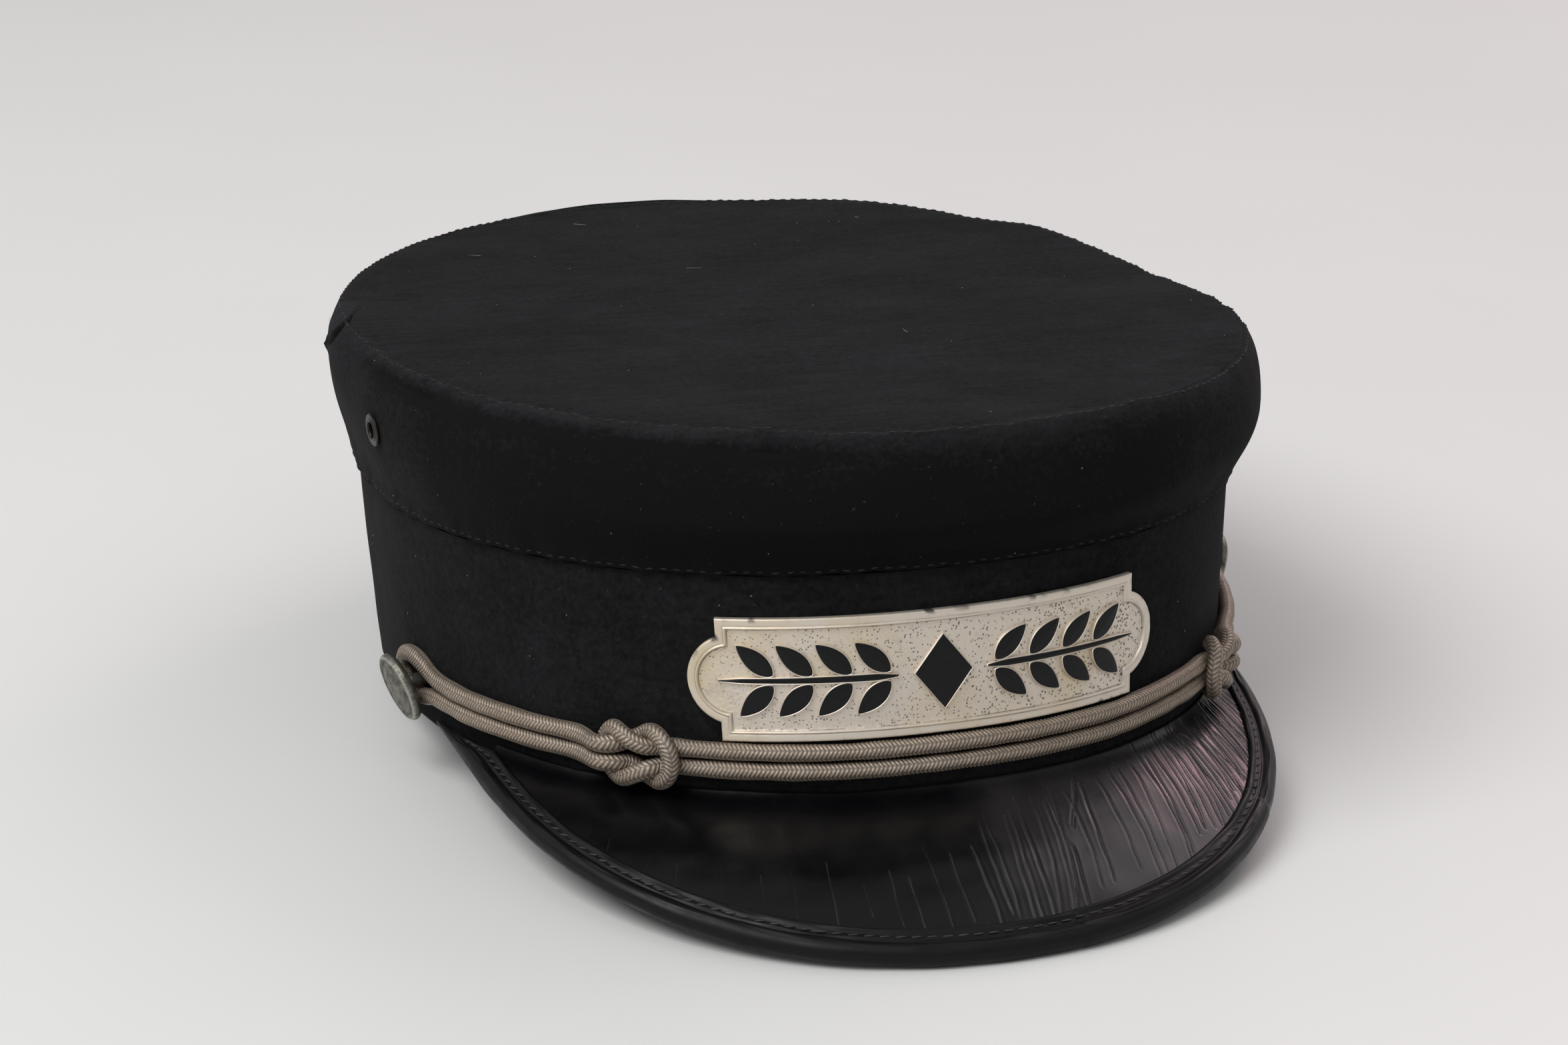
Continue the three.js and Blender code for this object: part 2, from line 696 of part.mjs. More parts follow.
// A flat shape bent to the badge: `spans` lists its lower and upper edge along its length
function bent(spans, low, high) {
  const sections = spans.map(([along, bottom, top]) => [
    onBadge(along, bottom, low), onBadge(along, top, low),
    onBadge(along, top, high), onBadge(along, bottom, high),
  ]);
  const outline = [[0, 0], [1, 0], [1, 1], [0, 1]].map(([x, y]) => new THREE.Vector2(x, y));
  return toSolid(skin(sections, outline));
}

// The badge's outline, inset from its edge
function badgeSpans(inset) {
  const shoulder = BADGE.length / 2 - BADGE.lobe;
  const half = BADGE.lobeChord / 2;
  const radius = (half ** 2 + BADGE.lobe ** 2) / (2 * BADGE.lobe);
  const centre = shoulder + BADGE.lobe - radius;
  const tip = centre + radius - inset;
  const spans = [];
  for (let i = 0; i <= BADGE.lobeSteps; i += 1) {
    const share = (i / BADGE.lobeSteps) ** 1.6;
    const along = lerp(tip, shoulder - inset, share) + lerp(-1, 1, share) * POINT_WIDTH / 4;
    const up = Math.sqrt(Math.max(0, (radius - inset) ** 2 - (along - centre) ** 2));
    spans.push([-along, -up, up]);
  }
  for (let i = 0; i <= BADGE.plainSteps; i += 1) {
    const up = BADGE.height / 2 - inset;
    spans.push([lerp(-1, 1, i / BADGE.plainSteps) * (shoulder - inset), -up, up]);
  }
  for (let i = BADGE.lobeSteps; i >= 0; i -= 1) {
    const [along, bottom, top] = spans[i];
    spans.push([-along, bottom, top]);
  }
  return spans;
}

// Ends of a post's axis, each `past` further out than the post's own
function postEnds(side, past) {
  const along = side * POST.spacing / 2;
  const inner = onBadge(along, 0, -CLEARANCE - POST.length - past);
  return [inner, onBadge(along, 0, POST.joint + past)];
}

function makeBadge() {
  const field = BADGE.thickness - BADGE.recess;
  let plate = bent(badgeSpans(0), 0, BADGE.thickness);
  plate = plate.subtract(bent(badgeSpans(BADGE.border), field, BADGE.thickness + 1));
  for (const side of [-1, 1]) {
    plate = plate.add(toSolid(rod(...postEnds(side, 0), POST.radius, POST.sides)));
  }
  return plate;
}

// A leaf that leans away from the stem, as spans along the badge
function leafSpans(foot, direction) {
  const outline = [];
  for (let i = 0; i <= LEAF_STEPS.outline; i += 1) {
    const t = i / LEAF_STEPS.outline;
    const half = SPRAY.leafWidth / 2 * Math.sin(Math.PI * t ** 0.85) ** 0.8;
    outline.push([t * SPRAY.leafLength, half]);
  }
  const turn = radians(SPRAY.lean);
  const edge = (side) => outline.map(([x, y]) => {
    const across = side * y;
    return [x * Math.cos(turn) - across * Math.sin(turn), x * Math.sin(turn) + across * Math.cos(turn)];
  });
  const upper = edge(1);
  const lower = edge(-1);
  const all = [...upper, ...lower].map(([x]) => x);
  const start = Math.min(...all) + POINT_WIDTH;
  const end = Math.max(...all) - POINT_WIDTH;
  const spans = [];
  const closed = [...upper, ...lower.reverse()];
  for (let i = 0; i <= LEAF_STEPS.spans; i += 1) {
    const x = lerp(start, end, i / LEAF_STEPS.spans);
    const crossings = [];
    closed.forEach(([x0, y0], k) => {
      const [x1, y1] = closed[(k + 1) % closed.length];
      if ((x0 - x) * (x1 - x) < 0) {
        crossings.push(y0 + (y1 - y0) * (x - x0) / (x1 - x0));
      }
    });
    spans.push([foot + direction * x, Math.min(...crossings), Math.max(...crossings)]);
  }
  return spans;
}

function enamelFace() {
  const low = BADGE.thickness - BADGE.recess + CLEARANCE;
  return [low, low + ENAMEL_THICKNESS];
}

function makeSpray(direction) {
  const face = enamelFace();
  const stem = [];
  for (let i = 0; i <= STEM.steps; i += 1) {
    const share = i / STEM.steps;
    const half = STEM.halfWidth * (1 - STEM.taper * share ** 2);
    stem.push([direction * lerp(STEM.start, STEM.end, share), -half, half]);
  }
  let spray = bent(stem, ...face);
  for (let i = 0; i < SPRAY.pairs; i += 1) {
    for (const side of [-1, 1]) {
      const spans = leafSpans(direction * (SPRAY.first + i * SPRAY.pitch), direction);
      const placed = spans.map(([along, bottom, top]) => (
        side > 0 ? [along, bottom, top] : [along, -top, -bottom]
      ));
      spray = spray.add(bent(placed, ...face));
    }
  }
  return spray;
}

function makeLozenge() {
  const spans = [];
  for (let i = 0; i <= LOZENGE.steps; i += 1) {
    const x = lerp(-1, 1, i / LOZENGE.steps);
    const half = Math.max(POINT_WIDTH, LOZENGE.halfHeight * (1 - Math.abs(x)));
    spans.push([x * LOZENGE.halfWidth, -half, half]);
  }
  return bent(spans, ...enamelFace());
}

// Eyelets

function eyeletSeat(side) {
  const angle = EYELET.angles[side];
  return { centre: sidePoint(EYELET.level, angle), off: sideNormal(EYELET.level, angle) };
}

function makeEyelet(side) {
  const { centre, off } = eyeletSeat(side);
  return turned([...EYELET_PROFILE, EYELET_PROFILE[0]], EYELET.sides, centre, off);
}

function eyeletHole(side) {
  const { centre, off } = eyeletSeat(side);
  const from = centre.clone().addScaledVector(off, -SIDE_WALL * 2);
  const to = centre.clone().addScaledVector(off, SIDE_WALL);
  return toSolid(rod(from, to, EYELET.barrel + CLEARANCE, HOLE_SIDES));
}

// The pieces

const SIDES = ['left', 'right'];

let side = makeSide();
SIDES.forEach((name) => {
  side = side.subtract(eyeletHole(name));
});
addPiece('crown_top', makeTop(), CLOTH);
addPiece('crown_side', toGeometry(side), CLOTH);

let band = makeBand();
SIDES.forEach((name) => {
  band = band.subtract(shankHole(name));
});
[-1, 1].forEach((end) => {
  const hole = rod(...postEnds(end, BAND_WALL), POST.radius + CLEARANCE, HOLE_SIDES);
  band = band.subtract(toSolid(hole));
});
addPiece('crown_band', toGeometry(band), CLOTH);

addPiece('peak', makePeak(), PATENT);
addPiece('peak_binding', makeBinding(), PATENT);
addPiece('cord_run', makeCordRun(), BRAID);
SIDES.forEach((name) => {
  addPiece(`cord_loop_${name}`, makeCordLoop(name), BRAID);
  addPiece(`button_${name}`, toGeometry(makeButton(name)), TARNISHED);
  addPiece(`eyelet_${name}`, makeEyelet(name), GUNMETAL);
});
addPiece('badge_plate', toGeometry(makeBadge()), NICKEL);
addPiece('enamel_spray_left', toGeometry(makeSpray(-1)), ENAMEL);
addPiece('enamel_lozenge', toGeometry(makeLozenge()), ENAMEL);
addPiece('enamel_spray_right', toGeometry(makeSpray(1)), ENAMEL);

// The cap rests on the bead of the peak and on the back of the band's lower edge: the
// tilt is that of the line from the back edge that touches the bead from below
const backEdge = levelPoint(BAND_FOOT, 180);
const beadCentre = onPeak(0, peakReach(0) - BINDING.bead, -PEAK.thickness / 2);
const run = backEdge.y - beadCentre.y;
const fall = -beadCentre.z;
const restTilt = Math.atan2(fall, run) + Math.asin(BINDING.bead / Math.hypot(run, fall));
cap.rotation.x = -restTilt;

const group = new THREE.Group();
group.add(cap);
const box = new THREE.Box3().setFromObject(group, true);
const middle = box.getCenter(new THREE.Vector3());
cap.position.set(-middle.x, -middle.y, -box.min.z);

export default group;
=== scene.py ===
import math

import bpy
import numpy as np
from mathutils import Matrix, Vector


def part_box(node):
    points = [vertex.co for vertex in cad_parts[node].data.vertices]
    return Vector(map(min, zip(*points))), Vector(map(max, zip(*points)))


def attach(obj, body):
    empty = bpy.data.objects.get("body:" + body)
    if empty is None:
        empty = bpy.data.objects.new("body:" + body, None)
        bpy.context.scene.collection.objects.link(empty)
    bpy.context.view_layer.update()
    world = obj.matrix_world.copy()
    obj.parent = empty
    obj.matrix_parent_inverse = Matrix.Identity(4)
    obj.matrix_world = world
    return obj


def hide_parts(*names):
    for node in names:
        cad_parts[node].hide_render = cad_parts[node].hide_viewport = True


bl_info = {
    "name": "Porter's Cap",
    "version": (1, 0, 0),
    "blender": (4, 5, 0),
    "location": "3D View > Sidebar > Porter's Cap",
    "description": "Dresses a railroad porter's cap in wool, patent leather, braid and nickel",
    "category": "Object",
}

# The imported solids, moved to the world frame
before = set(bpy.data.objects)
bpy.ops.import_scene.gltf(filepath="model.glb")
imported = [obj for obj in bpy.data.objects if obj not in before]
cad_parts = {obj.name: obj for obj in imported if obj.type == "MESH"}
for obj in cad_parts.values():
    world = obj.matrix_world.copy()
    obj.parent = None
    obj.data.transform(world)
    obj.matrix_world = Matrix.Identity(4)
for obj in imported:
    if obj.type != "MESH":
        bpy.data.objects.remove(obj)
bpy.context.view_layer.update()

# The cap's own frame, in millimetres: the front faces -Y, +X is the wearer's left, and
# z = 0 is the flat lower edge of the band. Angles are in degrees from the middle of the
# front, towards +X. The sizes up to the finishes are those of the solids, but the buttons
# and their bights sit closer to the band, as on the real cap.

# The oval of every level: a superellipse, a little wider in front
OVAL_POWER = 2.144
FRONT_WIDENING = 0.043

# Levels of the wall, with these columns
HALF_WIDTH, HALF_LENGTH, BACK, SIDE, HEIGHT, BACK_RISE, SIDE_RISE = range(7)
BAND_FOOT = np.array([81.4, 102.0, 0, 0, 0, 0, 0])
BAND_HEAD = np.array([84.4, 100.3, 0.7, 0, 41.5, -0.008, 0])
WIDEST = np.array([89.1, 106.4, -0.5, -0.3, 62.1, 0.09, -0.006])
TOP_SEAM = np.array([84.7, 100.6, -0.2, 0.1, 69.3, 0.02, -0.007])

CLEARANCE = 0.3
BAND_WALL = 2.5
SIDE_WALL = 2.0
TOP_THICKNESS = 2.0
TOP_SAG = 1.2
SEAM_STEP = 0.9
# Length of the crown's side along its surface, from the band to the widest level and on
# to the top seam
SIDE_RISE_LENGTH = 21.2
SIDE_ROLL_LENGTH = 9.6

# Creases of the upper edge, with these columns; the lift starts at LIFT_START
FOLD_ANGLE, FOLD_SPREAD, FOLD_OUT, FOLD_LIFT = range(4)
EDGE_FOLDS = [
    (-88, 5, 1.3, 0.6),
    (66, 22, 1.2, 0.4),
    (98, 13, -0.8, -1.4),
    (118, 9, 0.9, 0.9),
    (148, 12, 0.4, 1.1),
    (16, 14, 0, 0.6),
]
LIFT_START = 0.6

PEAK = {
    "reach": 41.0, "half_angle": 83, "side_power": 2.055, "end_power": 2.7,
    "slope": 25.7, "end_slope": 26.5, "thickness": 2.0, "root": 2.7, "end_rise": 0.84,
    "arch": 1.1, "end": 0.9, "leather_share": 0.685, "binding_share": 0.84,
}
BINDING = {
    "width": 6.4, "flap": 0.8, "bead": 2.05, "step_down": 0.25, "full_reach": 6.5,
    "root_gap": 1.8, "tip_gap": 0.7,
}

CORD_RADIUS = 1.55
STRAND_OFFSET = 1.7
STRAND_LIFT = 1.9
LEG_PITCH = 9
KNOT_ANGLES = {"left": -34.3, "right": 46}
BUTTON_ANGLES = {"left": -72, "right": 82.5}
# Height of the line between the strands, as angle and height
CORD_HEIGHTS = np.array([
    (-72, 10.0), (-60, 9.3), (-36, 9.0), (-12, 8.8), (6, 9.1),
    (22, 9.3), (33, 10.0), (46, 10.3), (82.5, 12.6),
])
# Half a bight, as distance along the cord, up from its middle line, and off the band
OVER_BIGHT = [
    (-14.5, 1.7, 1.9), (-11.3, 1.7, 3.3), (-8.9, 1.7, 5.0), (-6.8, 1.7, 5.6),
    (-4.6, 1.8, 4.5), (-2.5, 2.3, 2.3), (0, 3.5, 1.9), (2.3, 4.9, 2.3),
    (4.4, 5.2, 3.8), (6.3, 4.0, 5.2), (7.4, 2.0, 5.6), (7.7, 0, 5.6),
]
UNDER_BIGHT = [
    (10.5, 1.7, 1.9), (7.0, 1.7, 1.9), (4.7, 1.8, 2.8), (2.4, 2.3, 5.0),
    (0, 3.5, 5.6), (-2.4, 4.9, 5.0), (-4.5, 5.2, 3.4), (-6.3, 4.0, 2.2),
    (-7.5, 2.0, 1.9), (-7.8, 0, 1.9),
]
BUTTON_BIGHT = [
    (9.5, 1.8, 1.85), (6.0, 2.2, 1.75), (2.4, 3.2, 1.7), (-2.4, 3.8, 1.7), (-6.6, 2.8, 1.7),
    (-8.4, 0, 1.7),
]

BUTTON = {
    "neck": 3.1, "reach": 1.8, "nod": 18, "drop": 0.5, "shank": 1.3, "washer": 3.2,
    "washer_thickness": 0.9,
}
BADGE = {
    "length": 90.2, "height": 22.0, "lobe": 5.5, "lobe_chord": 15.2, "side": 0.7,
    "centre_height": 23.7, "turn": 0.59,
}
POST = {"radius": 1.0, "spacing": 60, "length": 3.4}
SPRAY = {
    "pairs": 4, "first": 8.6, "pitch": 6.8, "foot": 1.4, "leaf_length": 9.4, "leaf_width": 3.5,
    "lean": 42,
}
STEM = {"start": 8.2, "end": 39.5, "half_width": 0.55, "taper": 0.5}
LOZENGE = {"half_width": 5.2, "half_height": 6.6}
EYELET = {"left": -74.3, "right": 84.0, "level": 0.92, "barrel": 2.5}

MILLIMETRE = 0.001
MERGE = 2e-6


# Numbers and colours

def linear(code):
    """An sRGB hex colour as linear red, green and blue."""
    channels = [int(code[i:i + 2], 16) / 255 for i in (1, 3, 5)]
    return tuple(c / 12.92 if c <= 0.04045 else ((c + 0.055) / 1.055) ** 2.4 for c in channels)


def mix(low, high, share):
    """Value a share of the way between two."""
    return low + (high - low) * share


def bump_at(distance, spread):
    """1 at no distance, falling smoothly to 0 over a spread."""
    return np.exp(-(distance / spread) ** 2)


def step_at(value, start, end):
    """Smooth step from 0 at start to 1 at end."""
    share = np.clip((value - start) / (end - start), 0, 1)
    return share * share * (3 - 2 * share)


def between(value, rise, fall):
    """1 between two smooth steps, each given by its two ends, and 0 outside them."""
    return step_at(value, *rise) * (1 - step_at(value, *fall))


def waves(points, length, seed, count=12):
    """Smooth random relief of about unit height, in waves of about a given length."""
    random = np.random.default_rng(seed)
    points = np.asarray(points, float)
    total = np.zeros(points.shape[:-1])
    for _ in range(count):
        direction = random.normal(size=points.shape[-1])
        direction /= np.linalg.norm(direction)
        turns = points @ direction / (length * random.uniform(0.7, 1.5))
        total += np.cos(2 * np.pi * (turns + random.random()))
    return total / math.sqrt(count / 2)


def wavy(place, shape):
    """Waves of a height, a length and a seed."""
    height, length, seed = shape
    return height * waves(place, length, seed)


def patches(place, shape):
    """1 in random patches and 0 between them, with soft edges."""
    length, seed, start, end = shape
    return step_at(waves(place, length, seed), start, end)


def as_vectors(first, second=0, third=0):
    """Up to three numbers for each point, as the vectors that an attribute holds."""
    return np.stack(np.broadcast_arrays(first, second, third), -1)


def grid_uv(across, down):
    """Map coordinates of a grid, from those of its columns and its rows."""
    return np.stack(np.broadcast_arrays(across, down[:, None]), -1)


def unit(vectors):
    """Directions of length 1."""
    return vectors / np.maximum(np.linalg.norm(vectors, axis=-1, keepdims=True), 1e-9)


# The cap's surfaces, for arrays of places

def blend(low, high, amount, climb=None):
    """Level between two levels; its height and slopes may climb at another rate."""
    amount = np.asarray(amount, float)[..., None]
    climb = amount if climb is None else np.asarray(climb, float)[..., None]
    return low + (high - low) * np.where(np.arange(7) >= HEIGHT, climb, amount)


def oval_point(level, angle, grow=0.0):
    """Place on the oval of a level, grown by a distance."""
    sine = np.sin(np.radians(angle))
    cosine = -np.cos(np.radians(angle))
    flat_y = np.sign(cosine) * np.abs(cosine) ** (2 / OVAL_POWER)
    flat_x = np.sign(sine) * np.abs(sine) ** (2 / OVAL_POWER) * (1 - FRONT_WIDENING * flat_y)
    x = (level[..., HALF_WIDTH] + grow) * flat_x + level[..., SIDE]
    y = (level[..., HALF_LENGTH] + grow) * flat_y + level[..., BACK]
    z = level[..., HEIGHT] + level[..., BACK_RISE] * y + level[..., SIDE_RISE] * x
    return np.stack(np.broadcast_arrays(x, y, z), -1)


def outward(level, angle):
    """Level direction off an oval."""
    step = 0.05
    along = oval_point(level, angle + step) - oval_point(level, angle - step)
    return unit(np.stack([along[..., 1], -along[..., 0], 0 * along[..., 2]], -1))


def band_level(height):
    return blend(BAND_FOOT, BAND_HEAD, np.asarray(height) / BAND_HEAD[HEIGHT])


def eased(table, at, column=1):
    """A table's value at a place of its first column, eased between its rows."""
    row = np.clip(np.searchsorted(table[:, 0], at) - 1, 0, len(table) - 2)
    start, end = table[row], table[row + 1]
    share = step_at(at, start[..., 0], end[..., 0])
    return mix(start[..., column], end[..., column], share)


def edge_fold(angle, column):
    """What the creases of the upper edge add at an angle, from one of their columns."""
    total = 0
    for fold in EDGE_FOLDS:
        away = (angle - fold[FOLD_ANGLE] + 180) % 360 - 180
        total = total + fold[column] * bump_at(away, fold[FOLD_SPREAD])
    return total


def side_point(t, angle):
    """Crown side: t is 0 at the band, 1 at the widest level and 2 at the top seam."""
    rise = np.clip(t, 0, 1)
    roll = np.clip(np.asarray(t) - 1, 0, 1) * math.pi / 2
    swell = 0.5 * rise ** 2 * (3 - 2 * rise) + 0.5 * np.sin(rise * math.pi / 2)
    lower = blend(BAND_HEAD, WIDEST, swell, rise)
    upper = blend(WIDEST, TOP_SEAM, 1 - np.cos(roll), np.sin(roll))
    level = np.where((np.asarray(t) <= 1)[..., None], lower, upper)
    level[..., HEIGHT] += CLEARANCE * (1 - rise)
    share = rise ** 2
    grow = SEAM_STEP * (1 - rise) ** 2 + edge_fold(angle, FOLD_OUT) * share
    point = oval_point(level, angle, grow)
    climb = share * np.maximum(0, np.asarray(t) - LIFT_START) / (2 - LIFT_START)
    point[..., 2] += edge_fold(angle, FOLD_LIFT) * climb
    return point


def side_normal(t, angle):
    """Direction off the crown's side."""
    step = 0.02
    turn = 0.5
    middle = np.clip(t, 1.5 * step, 2 - 1.5 * step)
    up = side_point(middle + step, angle) - side_point(middle - step, angle)
    across = side_point(middle, angle + turn) - side_point(middle, angle - turn)
    return unit(np.cross(across, up))


# The sewn seam of the top wanders from the solids' seam: how far in over the top it lies, by
# angle, and less than 0 is down the side
SEAM_SHIFT = np.array([
    (-180, -3.0), (-108, -3.0), (-95, -0.8), (-86, 1.4), (-76, 0.8), (-68, 1.4), (-58, 2.2),
    (-46, 3.2), (-30, 3.8), (-14, 2.8), (-2, 0.6), (8, 0), (22, 0), (42, -1.2), (70, -1.4),
    (100, -3.0), (180, -3.0),
])
TOP_RADIUS = (TOP_SEAM[HALF_WIDTH] + TOP_SEAM[HALF_LENGTH]) / 2
SIDE_LENGTH = SIDE_RISE_LENGTH + SIDE_ROLL_LENGTH


def crown_place(inside, angle):
    """Place on the crown: so far inside the solids' top seam, or down the side if below 0."""
    below = -np.minimum(inside, 0)
    level = np.where(
        below < SIDE_ROLL_LENGTH, 2 - below / SIDE_ROLL_LENGTH,
        1 - (below - SIDE_ROLL_LENGTH) / SIDE_RISE_LENGTH,
    )
    share = 1 - np.maximum(inside, 0) / TOP_RADIUS
    edge = side_point(np.array(2.0), angle)
    x, y = edge[..., 0] * share, edge[..., 1] * share
    z = TOP_SEAM[HEIGHT] + TOP_SEAM[BACK_RISE] * y + TOP_SEAM[SIDE_RISE] * x
    z = z + edge_fold(angle, FOLD_LIFT) * share ** 3 - TOP_SAG * (1 - share ** 2)
    on_top = np.asarray(inside + 0 * angle > 0)[..., None]
    return np.where(on_top, np.stack([x, y, z], -1), side_point(level, angle))


def crown_normal(inside, angle):
    """Direction off the crown, at its places."""
    step = 0.15
    turn = 0.4
    up = crown_place(inside + step, angle) - crown_place(inside - step, angle)
    across = crown_place(inside, angle + turn) - crown_place(inside, angle - turn)
    flat = np.asarray(inside + 0 * angle > 6)[..., None]
    return np.where(flat, np.array([0, 0, 1.0]), unit(np.cross(across, up)))


ARC_ANGLES = np.arange(0, 120.5, 0.5)
ARC_POINTS = oval_point(band_level(BADGE["centre_height"]), ARC_ANGLES)
ARC_CHORDS = np.linalg.norm(np.diff(ARC_POINTS, axis=0), axis=1)
ARC_LENGTHS = np.concatenate([[0], np.cumsum(ARC_CHORDS)])


def angle_at(along):
    """Angle of a place at a distance along the front of the band."""
    return np.sign(along) * np.interp(np.abs(along), ARC_LENGTHS, ARC_ANGLES)


def arc_at(angle):
    """Distance along the front of the band of a place at an angle."""
    return np.sign(angle) * np.interp(np.abs(angle), ARC_ANGLES, ARC_LENGTHS)


def on_band(along, up, off):
    """Place on the band: along it from the middle of the front, up it and off it."""
    angle = angle_at(along)
    level = band_level(up)
    return oval_point(level, angle) + outward(level, angle) * np.asarray(off, float)[..., None]


def on_badge(along, up, off):
    """Place on the badge: along and up from its middle, and off its back."""
    turn = math.radians(BADGE["turn"])
    x = BADGE["side"] + along * math.cos(turn) - up * math.sin(turn)
    z = BADGE["centre_height"] + along * math.sin(turn) + up * math.cos(turn)
    return on_band(x, z, CLEARANCE + off)


def peak_reach(angle):
    """How far the peak reaches out from the band at an angle."""
    t = np.abs(angle) / PEAK["half_angle"]
    shape = np.maximum(0, 1 - t ** PEAK["side_power"])
    return PEAK["reach"] * shape ** PEAK["end_power"]


def on_peak(angle, out, up):
    """Place on the peak: a distance out from the band, and up from its top face."""
    t = np.abs(angle) / PEAK["half_angle"]
    slope = np.radians(mix(PEAK["slope"], PEAK["end_slope"], t * t))
    arch = PEAK["arch"] * np.sin(math.pi * np.minimum(1, out / PEAK["reach"]))
    shift = out * np.cos(slope) + (up + arch) * np.sin(slope)
    point = oval_point(BAND_FOOT, angle) + outward(BAND_FOOT, angle) * shift[..., None]
    point[..., 2] += PEAK["root"] + PEAK["end_rise"] * t * t
    point[..., 2] += (up + arch) * np.cos(slope) - out * np.sin(slope)
    return point


# Where the cap lies: it rests on the peak's bead and the back of the band's edge

def rest_tilt():
    """How far the cap leans back, from the bead in front and the band's edge behind."""
    bead = on_peak(0.0, np.array(PEAK["reach"] - BINDING["bead"]), -PEAK["thickness"] / 2)
    run = BAND_FOOT[HALF_LENGTH] - bead[1]
    fall = -bead[2]
    return math.atan2(fall, run) + math.asin(BINDING["bead"] / math.hypot(run, fall))


TILT = rest_tilt()
BAND_LOW, BAND_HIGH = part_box("crown_band")
ORIGIN = np.array([
    (BAND_LOW.x + BAND_HIGH.x) / 2,
    BAND_LOW.y + BAND_FOOT[HALF_LENGTH] * math.cos(TILT) * MILLIMETRE,
    BAND_LOW.z + BAND_FOOT[HALF_LENGTH] * math.sin(TILT) * MILLIMETRE,
])


def turn_down(vectors):
    """Directions of the cap's own frame as they are in the shared frame."""
    x, y, z = np.moveaxis(np.asarray(vectors, float), -1, 0)
    cosine, sine = math.cos(TILT), math.sin(TILT)
    return np.stack([x, y * cosine + z * sine, z * cosine - y * sine], -1)


def to_frame(points):
    """Places of the cap's own frame, in millimetres, as metres in the shared frame."""
    return turn_down(points) * MILLIMETRE + ORIGIN


# Modelling by operators

def select_only(*pieces):
    bpy.ops.object.select_all(action="DESELECT")
    for piece in pieces:
        piece.select_set(True)
    bpy.context.view_layer.objects.active = pieces[0]


def grid_piece(name, places, uv, fields=None):
    """A grid primitive with its points moved to places[row, column]; uv and the named
    fields, which have the same layout, go on its corners and points."""
    rows, columns = places.shape[:2]
    bpy.ops.mesh.primitive_grid_add(
        x_subdivisions=columns - 1, y_subdivisions=rows - 1, size=1, calc_uvs=True,
    )
    piece = bpy.context.object
    piece.name = name
    mesh = piece.data
    mesh.name = name
    if len(mesh.vertices) != rows * columns:
        raise RuntimeError(f"{name}: the grid has {len(mesh.vertices)} points")
    flat = np.empty(len(mesh.vertices) * 3, np.float32)
    mesh.vertices.foreach_get("co", flat)
    flat = flat.reshape(-1, 3)
    column = np.rint((flat[:, 0] + 0.5) * (columns - 1)).astype(int)
    row = np.rint((flat[:, 1] + 0.5) * (rows - 1)).astype(int)
    mesh.vertices.foreach_set("co", to_frame(places[row, column]).astype(np.float32).ravel())
    corners = np.empty(len(mesh.loops), np.int32)
    mesh.loops.foreach_get("vertex_index", corners)
    layer = mesh.uv_layers.active
    layer.name = "UVMap"
    layer.data.foreach_set("uv", uv[row, column][corners].astype(np.float32).ravel())
    for key, values in (fields or {}).items():
        attribute = mesh.attributes.new(key, "FLOAT_VECTOR", "POINT")
        attribute.data.foreach_set("vector", values[row, column].astype(np.float32).ravel())
    mesh.update()
    return piece


def close_shell(piece, fill=False):
    """Merges a shell's seams, fills its open ends if asked, and turns its faces out."""
    select_only(piece)
    bpy.ops.object.mode_set(mode="EDIT")
    bpy.ops.mesh.select_all(action="SELECT")
    bpy.ops.mesh.remove_doubles(threshold=MERGE)
    if fill:
        bpy.ops.mesh.fill_holes(sides=0)
        bpy.ops.mesh.select_all(action="SELECT")
    bpy.ops.mesh.normals_make_consistent(inside=False)
    bpy.ops.object.mode_set(mode="OBJECT")
    return piece


def smooth(piece, angle=None):
    """Smooth shading; edges sharper than an angle in degrees stay sharp if one is given."""
    select_only(piece)
    if angle is None:
        bpy.ops.object.shade_smooth()
    else:
        bpy.ops.object.shade_smooth_by_angle(angle=math.radians(angle))


def join(name, pieces):
    select_only(*pieces)
    bpy.ops.object.join()
    joined = bpy.context.object
    joined.name = name
    joined.data.name = name
    return joined


def drill(piece, ends, radius):
    """Cuts round holes through a wall, along lines given by their two ends."""
    cutters = []
    for start, finish in ends:
        start, finish = Vector(to_frame(start)), Vector(to_frame(finish))
        bpy.ops.mesh.primitive_cylinder_add(
            vertices=32, radius=radius * MILLIMETRE, depth=(finish - start).length,
            location=(start + finish) / 2,
            rotation=(finish - start).to_track_quat("Z", "Y").to_euler(),
        )
        cutters.append(bpy.context.object)
    cutter = join("cutter", cutters)
    select_only(piece)
    bpy.ops.object.modifier_add(type="BOOLEAN")
    hole = piece.modifiers[-1]
    hole.operation = "DIFFERENCE"
    hole.solver = "EXACT"
    hole.object = cutter
    bpy.ops.object.modifier_apply(modifier=hole.name)
    bpy.data.objects.remove(cutter)


def dress(piece, material, slot, *nodes):
    """Gives a piece its finish, puts it under the root, and hides the solids that it stands for."""
    piece.data.materials.clear()
    piece.data.materials.append(material)
    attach(piece, "root")
    if nodes:
        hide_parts(*nodes)


def run_lengths(points):
    """Distance along a line of points."""
    return np.concatenate([[0], np.cumsum(np.linalg.norm(np.diff(points, axis=0), axis=1))])


def rounding(distance, radius):
    """How far a rounded edge falls away at a distance from it."""
    away = np.clip(radius - distance, 0, radius)
    return radius - np.sqrt(radius ** 2 - away ** 2)


